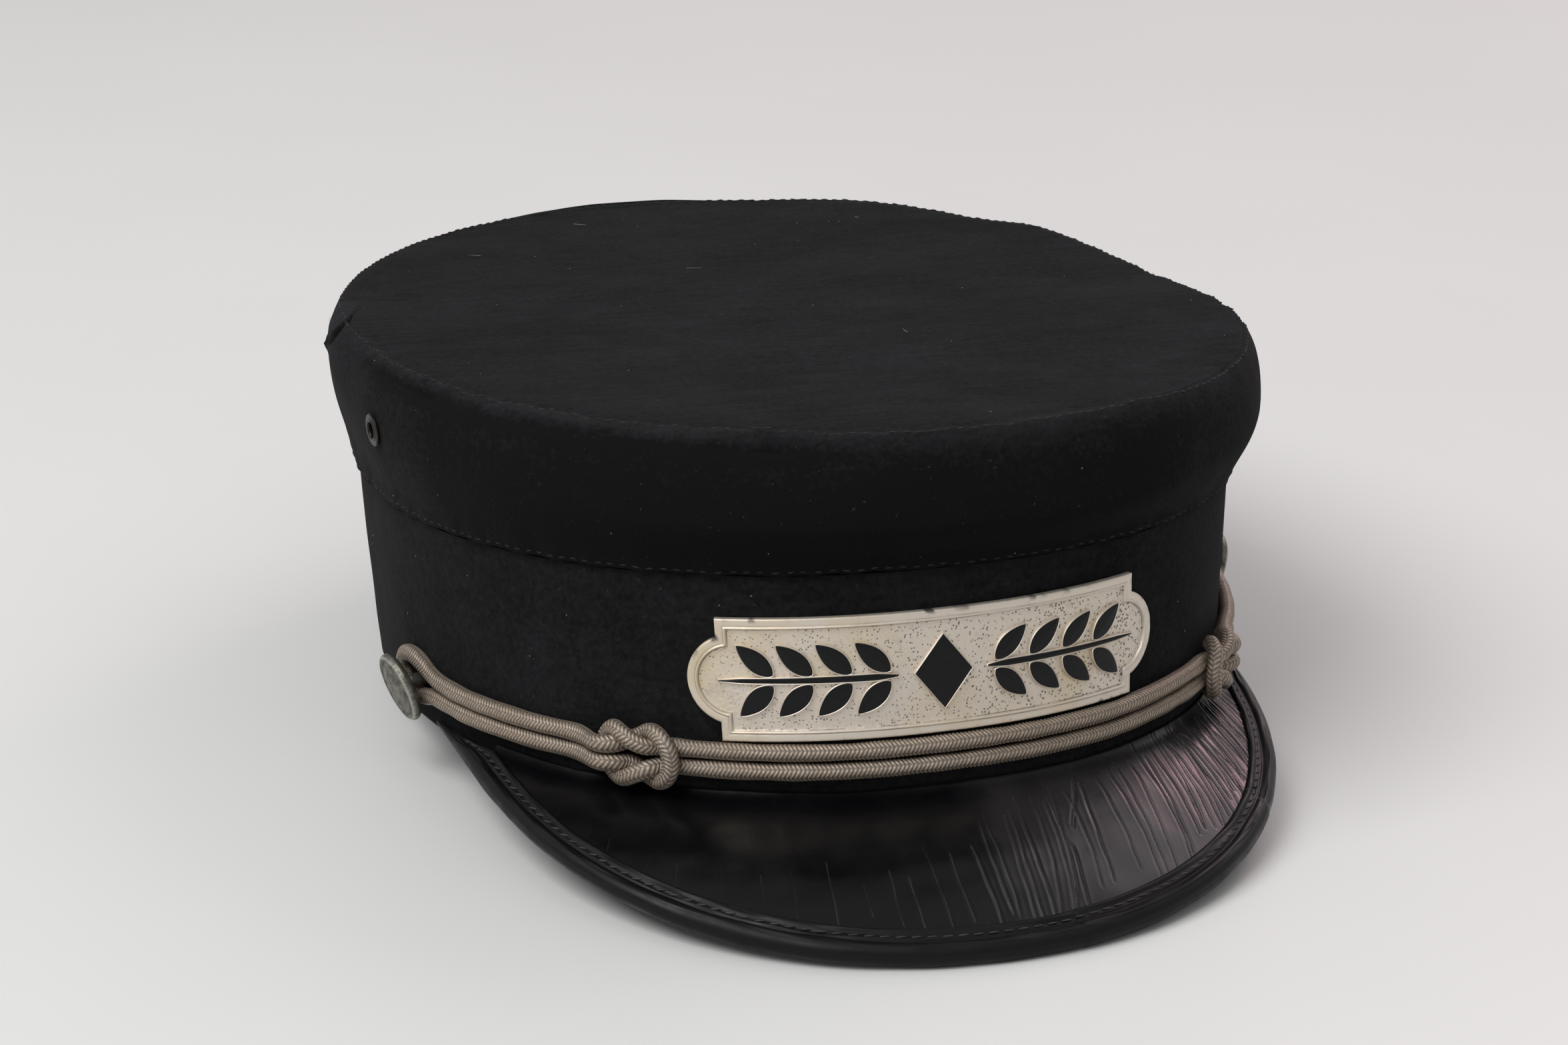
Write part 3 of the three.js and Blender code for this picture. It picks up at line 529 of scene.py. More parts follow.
def repeat_piece(name, template, centres, aheads, offs):
    """Copies of a small template, which lies along X with its top to Z, joined in one piece."""
    ahead = unit(turn_down(aheads))
    off = turn_down(offs)
    off = unit(off - np.sum(off * ahead, -1, keepdims=True) * ahead)
    copies = []
    for centre, x, y, z in zip(to_frame(centres), ahead, np.cross(off, ahead), off):
        copy = template.copy()
        copy.data = template.data.copy()
        copy.matrix_world = Matrix.Translation(centre) @ Matrix((x, y, z)).transposed().to_4x4()
        bpy.context.collection.objects.link(copy)
        copies.append(copy)
    bpy.data.objects.remove(template)
    piece = join(name, copies)
    bpy.ops.object.transform_apply()
    return piece


def stitch_template(length, width, height):
    """One stitch: a short rounded thread along X."""
    bpy.ops.mesh.primitive_uv_sphere_add(segments=8, ring_count=6, radius=MILLIMETRE)
    stitch = bpy.context.object
    bpy.ops.object.mode_set(mode="EDIT")
    bpy.ops.mesh.select_all(action="SELECT")
    bpy.ops.transform.resize(value=(length / 2, width / 2, height / 2))
    bpy.ops.object.mode_set(mode="OBJECT")
    return stitch


# Finishes

def finish(name, recipe, *details):
    """A material, from a recipe that adds nodes at a place and returns its shader."""
    material = bpy.data.materials.new(name)
    material.use_nodes = True
    tree = material.node_tree
    tree.nodes.clear()

    def add(kind, *values, out="", **named):
        """Adds a node. Values go to its sockets in order, and names in capitals to sockets
        by name; other names are settings. Returns its first, its named or all outputs."""
        node = tree.nodes.new("ShaderNode" + kind)
        wanted = []
        for key, value in named.items():
            if key[0].islower():
                setattr(node, key, value)
            else:
                wanted.append((node.inputs[key.replace("_", " ")], value))
        wanted += zip([socket for socket in node.inputs if socket.enabled], values)
        for socket, value in wanted:
            if isinstance(value, bpy.types.NodeSocket):
                tree.links.new(value, socket)
            elif socket.type == "RGBA":
                socket.default_value = (*value, 1)
            else:
                socket.default_value = value
        outputs = [socket for socket in node.outputs if socket.enabled]
        if out == "all":
            return outputs
        return node.outputs[out] if out else next(iter(outputs), None)

    place = add("TexCoord", out="Object")
    add("OutputMaterial", recipe(add, place, *details))
    return material


def per_metre(size):
    """Texture scale that gives features of a size in millimetres."""
    return 1 / (size * MILLIMETRE)


def wool_serge(add, place, cloth):
    # Wool serge, woven with a diagonal rib and napped: matt black, faded a little to blue
    # and brown in patches, with dust in the nap that greys it where light grazes it
    mottle = add("TexNoise", place, Scale=per_metre(24), Detail=6, Roughness=0.7)
    nap = add("TexNoise", place, Scale=per_metre(1.1), Detail=5, Roughness=0.7)
    # Yarns that are a little thicker or paler run across in streaks about 1 mm wide
    drawn_out = add("Mapping", place, Scale=(0.12, 1, 1))
    streaks = add("TexNoise", drawn_out, Scale=per_metre(1.6), Detail=3)
    # The wear attribute pales and darkens the cloth: real wear along the edge with a painted
    # highlight there, and painted shade in the creases, the tuck and on the flared side in front
    wear = add("SeparateXYZ", add("Attribute", out="Vector", attribute_name="wear"))
    uneven = add("Math", streaks, 0.3, wear, operation="MULTIPLY_ADD")
    uneven = add("Math", nap, 0.8, uneven, operation="MULTIPLY_ADD")
    uneven = add("Math", mottle, 0.6, uneven, operation="MULTIPLY_ADD")
    uneven = add("MapRange", uneven, 0.68, 1.12)
    hue = add("TexNoise", place, Scale=per_metre(60), Detail=2)
    faded = add("Mix", hue, cloth.faded_colour, cloth.brown_colour, data_type="RGBA")
    colour = add("Mix", uneven, cloth.colour, faded, data_type="RGBA")
    dust = add("TexNoise", place, Scale=per_metre(0.8), Detail=1)
    dust = add("MapRange", dust, 0.735, 0.80, 0, 0.35)
    colour = add("Mix", dust, colour, cloth.dust_colour, data_type="RGBA")
    # The rib's real pitch is about 0.6 mm, drawn a little coarser so that it shows
    along, up, _ = add("SeparateXYZ", add("UVMap", uv_map="UVMap"), out="all")
    diagonal = add("Math", along, up, operation="ADD")
    turn = 2 * math.pi * MILLIMETRE / cloth.rib_pitch
    rib = add("Math", add("Math", diagonal, turn, operation="MULTIPLY"), operation="SINE")
    height = add("Math", rib, 0.10, operation="MULTIPLY")
    height = add("Math", nap, 1.6, height, operation="MULTIPLY_ADD")
    bump = add("Bump", Strength=0.8, Distance=0.12 * MILLIMETRE, Height=height)
    return add(
        "BsdfPrincipled", Base_Color=colour, Roughness=0.93, Normal=bump,
        Specular_IOR_Level=0.05, Sheen_Weight=0.025, Sheen_Roughness=0.45,
        Sheen_Tint=linear("#c9c9cc"),
    )


def patent_leather(add, place, leather, cracked):
    # Patent leather, split hide under black varnish: a wet gloss, dulled and cracked where
    # the varnish has aged, with the pale hide just showing in the cracks
    haze = add("TexNoise", place, Scale=per_metre(9), Detail=5, Roughness=0.6)
    orange_peel = add("TexNoise", place, Scale=per_metre(3.2), Detail=2)
    fine = add("TexNoise", place, Scale=per_metre(0.5), Detail=3)
    gloss = leather.gloss if cracked else leather.worn_gloss
    shine = leather.shine if cracked else leather.shine * 0.8
    colour = leather.colour
    roughness = add("MapRange", haze, 0.35, 0.75, gloss, gloss * 1.9)
    height = add("Math", fine, 0.06, operation="MULTIPLY")
    height = add("Math", orange_peel, 0.5, height, operation="MULTIPLY_ADD")
    if cracked:
        dull = add("SeparateXYZ", add("Attribute", out="Vector", attribute_name="bloom"))
        cloudy = add("MapRange", haze, 0.3, 0.7, 0.7, 1)
        dull = add("Math", dull, cloudy, operation="MULTIPLY")
        colour = add("Mix", dull, colour, leather.bloom_colour, data_type="RGBA")
        roughness = add("Math", dull, 0.06, roughness, operation="MULTIPLY_ADD")
        # The signed distance jumps half way between cracks, where the nearest keeps it out
        cracks = add("Attribute", out="Vector", attribute_name="cracks")
        signed, nearest, openness = add("SeparateXYZ", cracks, out="all")
        broken = add("TexNoise", place, Scale=per_metre(5), Detail=4)
        shown = add("MapRange", broken, 0.36, 0.58, 0.3, 1)
        shown = add("Math", shown, openness, operation="MULTIPLY")
        near = add("MapRange", nearest, 0.22, 0.42, 1, 0)
        shown = add("Math", shown, near, operation="MULTIPLY")
        width = leather.crack_width / MILLIMETRE
        distance = add("Math", signed, operation="ABSOLUTE")
        line = add("MapRange", distance, width * 0.3, width * 1.2, 1, 0)
        line = add("Math", line, shown, operation="MULTIPLY")
        rim = add("MapRange", distance, width, width * 3, 1, 0)
        rim = add("Math", rim, shown, operation="MULTIPLY")
        # The hide shows grey in the cracks of black varnish, and where the varnish is dull the
        # cracks are painted black as painted shade in the grooves
        hide = add("Mix", dull, leather.crack_colour, leather.colour, data_type="RGBA")
        open_line = add("Math", line, 0.8, operation="MULTIPLY")
        colour = add("Mix", open_line, colour, hide, data_type="RGBA")
        roughness = add("Math", line, 0.45, roughness, operation="MULTIPLY_ADD")
        height = add("Math", height, rim, operation="ADD")
        height = add("Math", line, -3, height, operation="MULTIPLY_ADD")
    bump = add("Bump", Strength=0.6, Distance=0.06 * MILLIMETRE, Height=height)
    return add(
        "BsdfPrincipled", Base_Color=colour, Roughness=roughness, IOR=1.5, Normal=bump,
        Specular_IOR_Level=shine,
    )


def metallic_braid(add, place, cord):
    # Flat metal thread plaited over a cotton core: dull and tarnished to a warm grey, with a
    # painted highlight on the crest of each thread and painted shade between them
    along, around, _ = add("SeparateXYZ", add("UVMap", uv_map="UVMap"), out="all")
    # Threads lean to one side in a column and to the other in the next
    column = add("Math", around, cord.columns, operation="MULTIPLY")
    zigzag = add("Math", column, 1, operation="PINGPONG")
    phase = add("Math", zigzag, cord.slant, along, operation="MULTIPLY_ADD")
    crest = add("Math", phase, 0.5, operation="PINGPONG")
    half = add("Math", column, 0.5, operation="ADD")
    half = add("Math", half, 0.5, operation="PINGPONG")
    edge = add("MapRange", half, 0.5, 0.325, 1, 2)
    thread = add("Math", crest, edge, operation="MULTIPLY")
    hue = add("TexNoise", place, Scale=per_metre(16), Detail=3)
    bright = add("Mix", hue, cord.bright_colour, cord.brown_colour, data_type="RGBA")
    tarnish = add("TexNoise", place, Scale=per_metre(5), Detail=6, Roughness=0.65)
    tarnish = add("MapRange", tarnish, 0.35, 0.72, 0, 0.7)
    bright = add("Mix", tarnish, bright, cord.dull_colour, data_type="RGBA")
    grain = add("TexNoise", place, Scale=per_metre(0.5), Detail=3)
    light = add("MapRange", grain, 0.3, 0.7, 0.45, 1)
    light = add("Math", thread, light, operation="MULTIPLY")
    light = add("MapRange", light, 0.12, 0.75)
    # Painted highlight on the thread crests and painted shade between the threads
    colour = add("Mix", light, cord.shade_colour, bright, data_type="RGBA")
    height = add("Math", grain, 0.4, thread, operation="MULTIPLY_ADD")
    bump = add("Bump", Strength=0.9, Distance=0.10 * MILLIMETRE, Height=height)
    return add("BsdfPrincipled", Base_Color=colour, Roughness=0.5, Metallic=0.45, Normal=bump)


def worn_nickel(add, place, metal):
    # Nickel plate on brass, worn: a warm pale grey, softly polished on its border and pitted
    # on the sunk field, with dark dirt in the pits and yellow where the plate is thin. Its
    # patterns lie on the plate's own map, in millimetres
    plate = add("UVMap", uv_map="UVMap")
    along = add("SeparateXYZ", plate)
    field = add("Attribute", out="Vector", attribute_name="plate")
    sunk, dirty, _ = add("SeparateXYZ", field, out="all")
    # The pits are about 0.3 mm across, and closer towards the wearer's left
    clumps = add("TexNoise", plate, Scale=1 / 7, Detail=4)
    pitted = add("MapRange", along, -40, 42, 0, 0.10)
    pitted = add("Math", clumps, 0.38, pitted, operation="MULTIPLY_ADD")
    pit = add("Math", pitted, add("TexVoronoi", plate, Scale=1 / 0.62), operation="SUBTRACT")
    pit = add("MapRange", pit, -0.05, 0.08)
    pit = add("Math", pit, sunk, operation="MULTIPLY")
    yellow = add("TexNoise", plate, Scale=1 / 18, Detail=5, Roughness=0.6)
    thin = add("MapRange", along, -46, -20, 0.09, 0)
    thin = add("MapRange", add("Math", yellow, thin, operation="ADD"), 0.5, 0.85)
    colour = add("Mix", thin, metal.nickel_colour, metal.yellow_colour, data_type="RGBA")
    smoke = add("TexNoise", plate, Scale=1 / 3.5, Detail=6, Roughness=0.7)
    smoke = add("MapRange", smoke, 0.56, 0.78, 0, 0.55)
    colour = add("Mix", smoke, colour, metal.smoke_colour, data_type="RGBA")
    for dirt in (add("Math", pit, 0.75, operation="MULTIPLY"), dirty):
        colour = add("Mix", dirt, colour, metal.dirt_colour, data_type="RGBA")
    # The sunk field is cast with a fine grain
    grain = add("TexNoise", plate, Scale=1 / 0.7, Detail=4, Roughness=0.75)
    grain = add("Math", grain, sunk, operation="MULTIPLY")
    scratches = add("TexNoise", place, Scale=per_metre(0.7), Detail=4)
    height = add("Math", scratches, 0.5, operation="MULTIPLY")
    height = add("Math", grain, 1.2, height, operation="MULTIPLY_ADD")
    height = add("Math", height, pit, operation="SUBTRACT")
    bump = add("Bump", Strength=0.7, Distance=0.08 * MILLIMETRE, Height=height)
    roughness = add("Math", pit, 0.3, 0.5, operation="MULTIPLY_ADD")
    return add(
        "BsdfPrincipled", Base_Color=colour, Roughness=roughness, Metallic=0.72, Normal=bump,
    )


def tarnished_metal(add, place, metal):
    # Stamped white metal, tarnished olive grey in its hollows, and painted pale on its rim as
    # rubbed metal and a painted highlight
    field = add("Attribute", out="Vector", attribute_name="plate")
    _, worn, _ = add("SeparateXYZ", field, out="all")
    patina = add("TexNoise", place, Scale=per_metre(1.6), Detail=6, Roughness=0.7)
    specks = add("TexNoise", place, Scale=per_metre(0.45), Detail=3)
    share = add("MapRange", patina, 0.38, 0.66)
    colour = add("Mix", share, metal.pewter_colour, metal.olive_colour, data_type="RGBA")
    # The rim is painted pale: rubbed metal and a painted highlight
    bright = add("Math", specks, 0.8, worn, operation="MULTIPLY_ADD")
    bright = add("MapRange", bright, 1.05, 1.5, 0, 0.9)
    colour = add("Mix", bright, colour, metal.rubbed_and_highlight_colour, data_type="RGBA")
    height = add("Math", specks, 0.5, operation="MULTIPLY")
    height = add("Math", patina, 0.6, height, operation="MULTIPLY_ADD")
    bump = add("Bump", Strength=0.6, Distance=0.10 * MILLIMETRE, Height=height)
    roughness = add("MapRange", patina, 0, 1, 0.32, 0.55)
    return add(
        "BsdfPrincipled", Base_Color=colour, Roughness=roughness, Metallic=0.8, Normal=bump,
    )


def black_enamel(add, place):
    # Vitreous enamel, fired into its cells: glassy black, with a slight ripple and wear
    ripple = add("TexNoise", place, Scale=per_metre(2.4), Detail=2)
    wear = add("TexNoise", place, Scale=per_metre(1.2), Detail=5, Roughness=0.7)
    worn = add("MapRange", wear, 0.55, 0.8, 0, 0.6)
    colour = add("Mix", worn, linear("#08090b"), linear("#1b1e21"), data_type="RGBA")
    bump = add("Bump", Strength=0.5, Distance=0.10 * MILLIMETRE, Height=ripple)
    roughness = add("MapRange", wear, 0.4, 0.8, 0.25, 0.55)
    return add(
        "BsdfPrincipled", Base_Color=colour, Roughness=roughness, Normal=bump,
        Specular_IOR_Level=0.25,
    )


def lacquered_brass(add, place):
    # Brass eyelets under black lacquer, rubbed through to brown metal on the roll, which is painted
    # pale there as a painted highlight too
    field = add("Attribute", out="Vector", attribute_name="plate")
    _, worn, _ = add("SeparateXYZ", field, out="all")
    chips = add("TexNoise", place, Scale=per_metre(0.8), Detail=5, Roughness=0.7)
    # Bare metal painted pale on the roll: rubbed lacquer and a painted highlight
    bare = add("MapRange", add("Math", worn, chips, operation="MULTIPLY"), 0.42, 0.62)
    colour = add("Mix", bare, linear("#25231f"), linear("#a39f97"), data_type="RGBA")
    bump = add("Bump", Strength=0.4, Distance=0.05 * MILLIMETRE, Height=chips)
    roughness = add("MapRange", chips, 0, 1, 0.25, 0.45)
    return add(
        "BsdfPrincipled", Base_Color=colour, Roughness=roughness, Metallic=0.75, Normal=bump,
    )


def plain_thread(add, place, code, roughness):
    # Twisted cotton or wool thread: soft and matt, a little uneven in colour
    uneven = add("TexNoise", place, Scale=per_metre(3), Detail=3)
    uneven = add("MapRange", uneven, 0.35, 0.65)
    shade = [channel * 0.45 for channel in linear(code)]
    colour = add("Mix", uneven, shade, linear(code), data_type="RGBA")
    twist = add("TexNoise", place, Scale=per_metre(0.3), Detail=2)
    bump = add("Bump", Strength=0.5, Distance=0.05 * MILLIMETRE, Height=twist)
    return add(
        "BsdfPrincipled", Base_Color=colour, Roughness=roughness, Normal=bump,
        Specular_IOR_Level=0.3,
    )


def pale_stone(add, place):
    # Honed pale stone, plain and matt enough to hold only a soft shadow
    cloud = add("TexNoise", place, Scale=per_metre(110), Detail=4)
    cloud = add("MapRange", cloud, 0.35, 0.7)
    colour = add("Mix", cloud, linear("#dbdbda"), linear("#d9d9d8"), data_type="RGBA")
    return add("BsdfPrincipled", Base_Color=colour, Roughness=0.42, Specular_IOR_Level=0.35)


# Settings

def colour_property(name, description, code):
    return bpy.props.FloatVectorProperty(
        name=name, description=description, subtype="COLOR", size=3, min=0, max=1,
        default=linear(code),
    )


def length_property(name, description, millimetres):
    return bpy.props.FloatProperty(
        name=name, description=description, unit="LENGTH", min=0, precision=5,
        default=millimetres * MILLIMETRE,
    )


class ClothSettings(bpy.types.PropertyGroup):
    """The wool cloth of the crown."""

    colour: colour_property("Cloth", "Colour of the black wool", "#111112")
    faded_colour: colour_property("Faded", "Colour where it has faded to blue", "#232427")
    brown_colour: colour_property("Brown", "Colour where it has faded to brown", "#222223")
    dust_colour: colour_property("Dust", "Colour of the dust in the nap", "#474647")
    rib_pitch: length_property("Rib pitch", "Distance between the diagonal ribs", 0.9)
    wave_height: length_property("Wave height", "How far the slack cloth waves", 0.35)
    pucker_height: length_property("Pucker height", "How far the cloth puckers along a seam", 0.16)


class LeatherSettings(bpy.types.PropertyGroup):
    """The patent leather of the peak and its binding."""

    colour: colour_property("Leather", "Colour of the black varnish", "#08080a")
    bloom_colour: colour_property("Bloom", "Colour of the varnish where it has bloomed", "#272527")
    crack_colour: colour_property("Cracks", "Colour of the hide in the cracks", "#2b2728")
    gloss: bpy.props.FloatProperty(
        name="Gloss", description="Roughness of the sound varnish", default=0.18, min=0, max=1,
    )
    worn_gloss: bpy.props.FloatProperty(
        name="Worn gloss", description="Roughness of the rubbed binding", default=0.34, min=0,
        max=1,
    )
    shine: bpy.props.FloatProperty(
        name="Shine", description="How strongly the varnish mirrors", default=0.27, min=0, max=1,
    )
    crack_width: length_property("Crack width", "Half the width of a crack", 0.13)
    crack_depth: length_property("Crack depth", "Depth of the widest cracks", 0.11)


class CordSettings(bpy.types.PropertyGroup):
    """The braided cord."""

    bright_colour: colour_property("Thread", "Colour of the metal thread", "#c5baac")
    brown_colour: colour_property("Brown thread", "Colour where it is browner", "#ae9781")
    dull_colour: colour_property("Tarnish", "Colour where it has tarnished", "#968b7c")
    # Painted shade between the threads
    shade_colour: colour_property("Between", "Colour between the threads", "#6a5f55")
    # The real threads are about 0.6 mm apart, drawn a little coarser so that they show
    pitch: length_property("Plait pitch", "Distance between the threads along the cord", 0.76)
    columns: bpy.props.IntProperty(
        name="Columns", description="Columns of thread round the cord", default=6, min=4, max=16,
    )
    slant: bpy.props.FloatProperty(
        name="Slant", description="Threads that one thread leans past in a column", default=1.15,
    )
    relief: length_property("Relief", "Height of the threads", 0.10)


class MetalSettings(bpy.types.PropertyGroup):
    """The badge and the buttons."""

    nickel_colour: colour_property("Nickel", "Colour of the badge's nickel plate", "#ddd3c6")
    yellow_colour: colour_property("Thin plate", "Colour where the plate is thin", "#d6c5a2")
    smoke_colour: colour_property("Tarnish", "Colour where the plate has tarnished", "#a39c94")
    dirt_colour: colour_property("Dirt", "Colour of the dirt in the pits", "#4a4340")
    pewter_colour: colour_property("Buttons", "Colour of the buttons", "#7f7e75")
    olive_colour: colour_property("Hollows", "Colour of the buttons' tarnish", "#46453b")
    # Rubbed metal and a painted highlight on the buttons' rims
    rubbed_and_highlight_colour: colour_property("Rubbed", "Colour of the buttons' rubbed rims", "#bdbbb0")


class StageSettings(bpy.types.PropertyGroup):
    """The floor, the lights and the camera."""

    lens: bpy.props.FloatProperty(
        name="Lens", description="Focal length on a sensor 36 mm wide", subtype="DISTANCE_CAMERA",
        default=80.36,
    )
    floor_size: length_property("Floor", "Width of the floor", 9000)
    world_light: bpy.props.FloatProperty(
        name="Room light", description="Strength of the light all round", default=0.515, min=0,
    )
    key_light: bpy.props.FloatProperty(
        name="Key light", description="Power of the large light overhead", unit="POWER",
        default=24.3, min=0,
    )
    back_light: bpy.props.FloatProperty(
        name="Window light", description="Power of the light behind, which the peak mirrors",
        unit="POWER", default=7.3, min=0,
    )
    warm_light: bpy.props.FloatProperty(
        name="Warm light", description="Power of the small warm light low behind the cap",
        unit="POWER", default=2.5, min=0,
    )


# Pieces: the crown

# Angles of the crown's columns, closer where the cloth is pinched into a tuck
TUCK_START, TUCK_END = -102, -86
ROUND = np.concatenate([
    np.linspace(-180, TUCK_START, 105)[:-1], np.linspace(TUCK_START, TUCK_END, 65)[:-1],
    np.linspace(TUCK_END, 180, 355),
])
SEAM_ARC = run_lengths(side_point(np.array([2.0]), ROUND))

# Relief that follows a line on the crown: height, distance from the line, and spread
ALLOWANCE = (0.30, -0.7, 1.1)
SEAM_GROOVE = (-0.26, 0, 0.32)
HOLLOW = (-0.35, 2.6, 1.8)
ROLL = (0.75, -1.6, 2.0)
ROLL_CREASE = (-1.05, -2.4, 0.9)
STITCH_PULL = (-0.20, 1.5, 0.4)
# Paint that follows a line in the same way, as a share: paler wear with a painted highlight along
# the edge, and painted shade in the crease
EDGE_WEAR_AND_HIGHLIGHT = (0.10, -0.8, 1.6)
CREASE_SHADE = (-0.30, -3.2, 1.3)
# Angles between which it shows, as the two ends of its rise and of its fall
HOLLOW_SPAN = (-110, -80), (20, 50)
ROLL_SPAN = (-86, -74), (-18, -6)
GROOVE_END = (96, 108)
SHADY_SPAN = (-80, -38), (12, 45), (85, 130)
# Waves of the cloth: share of their height, how they are stretched, length and seed
TOP_WAVES = [(0.32, (0.3, 1, 0), 34, 11), (0.15, (0.5, 1, 0), 13, 12)]
SIDE_WAVES = [(0.8, (1, 1, 1.6), 48, 3), (0.25, (1, 1, 1), 17, 4)]
BAND_WAVES = [(0.5, (1, 1, 0.35), 30, 21)]
BAND_RIPPLES = [(0.15, (1, 1, 1), 12, 22)]
# Distances from a seam or the band's foot over which the waves set in
TOP_START, ABOVE_BAND_START, BELOW_TOP_START, FOOT_START = (1, 18), (0, 6), (0, 7), (0, 8)
# How round the cloth is at the seam above the band and at the band's foot
SEAM_ROUNDING, FOOT_ROUNDING = 0.8, 0.9
# The allowance above the band's seam: its height, and the distances over which it ends
BAND_ALLOWANCE, BAND_ALLOWANCE_END = 0.22, (1.6, 4.5)
# The share of the puckers that is left at the back
BACK_PUCKER = 0.35
# How the roll varies along the seam: its mean share, and its waves
ROLL_MEAN, ROLL_UNEVEN = 0.75, (0.25, 24, 8)
# Painted shade on the flared side in front: depth, shares that the two falls of SHADY_SPAN take,
# and the distances down from the edge over which it sets in
SHADE, SHADE_FALLS, SHADE_START = 0.26, (0.8, 0.2), (1.5, 7)
# Ridges that fan out from a pinched place: height, angle, how many, width and spread
TUCK_GATHERS = (0.24, -83, 12, 11, 6)
BACK_GATHERS = (0.20, 122, 2, 18, 14)

# Puckers along a seam: share of their height, length, seed, and how far they reach
TOP_PUCKERS = [(1, 6.5, 5, 3.0), (0.5, 2.8, 7, 1.4)]
BAND_PUCKERS = [(1, 8, 6, 5)]
# The tuck in the edge at the wearer's right: its angle where it turns, how far in that lies,
# how sharply it curves, and millimetres for a degree
TUCK_ANGLE, TUCK_TURN, TUCK_CURVE, TUCK_SCALE = -92.3, -4.2, 0.28, 1.6
# Spots beside it, as height, then place and spread across, then place and spread down
TUCK_PINCH = (-2.2, 0, 0.8, -4, 3.4)
TUCK_FOLD = (0.6, -2.4, 1.8, -4, 3.0)
TUCK_POINT = (0.8, -97.5, 0.9, -9, 1.0)
# Of the last two spots, the first is painted shade inside the tuck and the second is the fold
# beside it rubbed pale
TUCK_SHADE = (-1.2, 0, 1.0, -4, 3.6)
TUCK_PALE = (0.45, -100, 4.5, -3.5, 4.0)


def round_place(along, length):
    """Places along a closed line laid out as a circle, so that relief meets itself."""
    turn = 2 * math.pi * along / length
    return np.stack([np.cos(turn), np.sin(turn)], -1) * length / (2 * math.pi)


def ridge(distance, shape):
    """Relief at a distance from a line that it follows."""
    height, middle, spread = shape
    return height * bump_at(distance - middle, spread)


def cloth_waves(place, table):
    return sum(share * waves(place * np.array(stretch), length, seed)
               for share, stretch, length, seed in table)


def gathers(angle, distance, shape):
    """Ridges that fan out from a pinched place on the upper edge."""
    height, centre, count, width, spread = shape
    away = (angle - centre + 180) % 360 - 180
    fan = np.cos(away / width * count * math.pi) * bump_at(away, width)
    return height * fan * np.exp(-np.abs(distance) / spread)


def puckers(line, distance, table):
    return sum(share * waves(line, length, seed) * np.exp(-np.abs(distance) / reach)
               for share, length, seed, reach in table)


def spot(across, inside, shape):
    """Relief or wear in a round or oval spot."""
    height, centre, width, middle, spread = shape
    return height * bump_at(across - centre, width) * bump_at(inside - middle, spread)


def tuck(inside, angle):
    """Distance across the curved tuck, in millimetres."""
    return (angle - TUCK_ANGLE + TUCK_CURVE * (inside - TUCK_TURN) ** 2) * TUCK_SCALE


def crown_wear_and_painted_light(inside, angle):
    """How much paler the crown's cloth is painted: paler where it is worn along its upper edge,
    with a painted highlight there too, and on the rubbed fold by the tuck; darker with painted
    shade in creases, inside the tuck and where the flared side faces the floor in front."""
    seam = inside - eased(SEAM_SHIFT, angle)
    rise, fall, end = SHADY_SPAN
    first, last = SHADE_FALLS
    front = 1 - first * step_at(angle, *fall) - last * step_at(angle, *end)
    front = front * step_at(angle, *rise) * step_at(-inside, *SHADE_START)
    wear = ridge(seam, EDGE_WEAR_AND_HIGHLIGHT) - SHADE * front
    wear = wear + between(angle, *ROLL_SPAN) * ridge(inside, CREASE_SHADE)
    # Painted shade darkens the inside of the tuck, and the fold beside it is rubbed pale
    wear = wear + spot(tuck(inside, angle), inside, TUCK_SHADE) + spot(angle, inside, TUCK_PALE)
    return as_vectors(wear)


def crown_relief(inside, angle, place, cloth):
    """How far the cloth stands off the crown's plain surface."""
    seam = inside - eased(SEAM_SHIFT, angle)
    from_band = SIDE_LENGTH + np.minimum(inside, 0)
    wave = cloth.wave_height / MILLIMETRE
    pucker = cloth.pucker_height / MILLIMETRE
    line = round_place(np.interp(angle, ROUND, SEAM_ARC), SEAM_ARC[-1])
    # Long soft waves across the top, and smaller ones between them and on the side
    relief = wave * step_at(seam, *TOP_START) * cloth_waves(place, TOP_WAVES)
    middle = step_at(from_band, *ABOVE_BAND_START) * step_at(-seam, *BELOW_TOP_START)
    relief += wave * middle * cloth_waves(place, SIDE_WAVES)
    # The seam allowances under the cloth, the stitches' pull, and the groove between the panels
    in_front = 1 - step_at(np.abs(angle), *GROOVE_END)
    relief += ridge(seam, ALLOWANCE) + ridge(seam, SEAM_GROOVE) * in_front
    relief += ridge(seam, HOLLOW) * between(angle, *HOLLOW_SPAN)
    front_pucker = pucker * mix(BACK_PUCKER, 1, in_front)
    relief += front_pucker * puckers(line, seam, TOP_PUCKERS)
    # The roll over the seam at the wearer's right, and the crease below it
    uneven = (ROLL_MEAN + wavy(line, ROLL_UNEVEN)) * between(angle, *ROLL_SPAN)
    relief += uneven * (ridge(seam, ROLL) + ridge(inside, ROLL_CREASE))
    # The seam allowance above the band's stitches
    relief += ridge(from_band, STITCH_PULL) - rounding(from_band, SEAM_ROUNDING)
    relief += BAND_ALLOWANCE * (1 - step_at(from_band, *BAND_ALLOWANCE_END))
    relief += front_pucker * puckers(line, from_band, BAND_PUCKERS)
    relief += gathers(angle, seam, TUCK_GATHERS) * step_at(seam, -1.5, 1.5)
    relief += gathers(angle, seam, BACK_GATHERS)
    # The tuck pinched into the edge, the fold beside it, and a small point below it
    fold = tuck(inside, angle)
    relief += spot(fold, inside, TUCK_PINCH) + spot(fold, inside, TUCK_FOLD)
    return relief + spot(angle, inside, TUCK_POINT)


def crown_surface(inside, angle, cloth):
    """The crown's modelled surface, and its direction off."""
    place = crown_place(inside, angle)
    normal = crown_normal(inside, angle)
    return place + normal * crown_relief(inside, angle, place, cloth)[..., None], normal


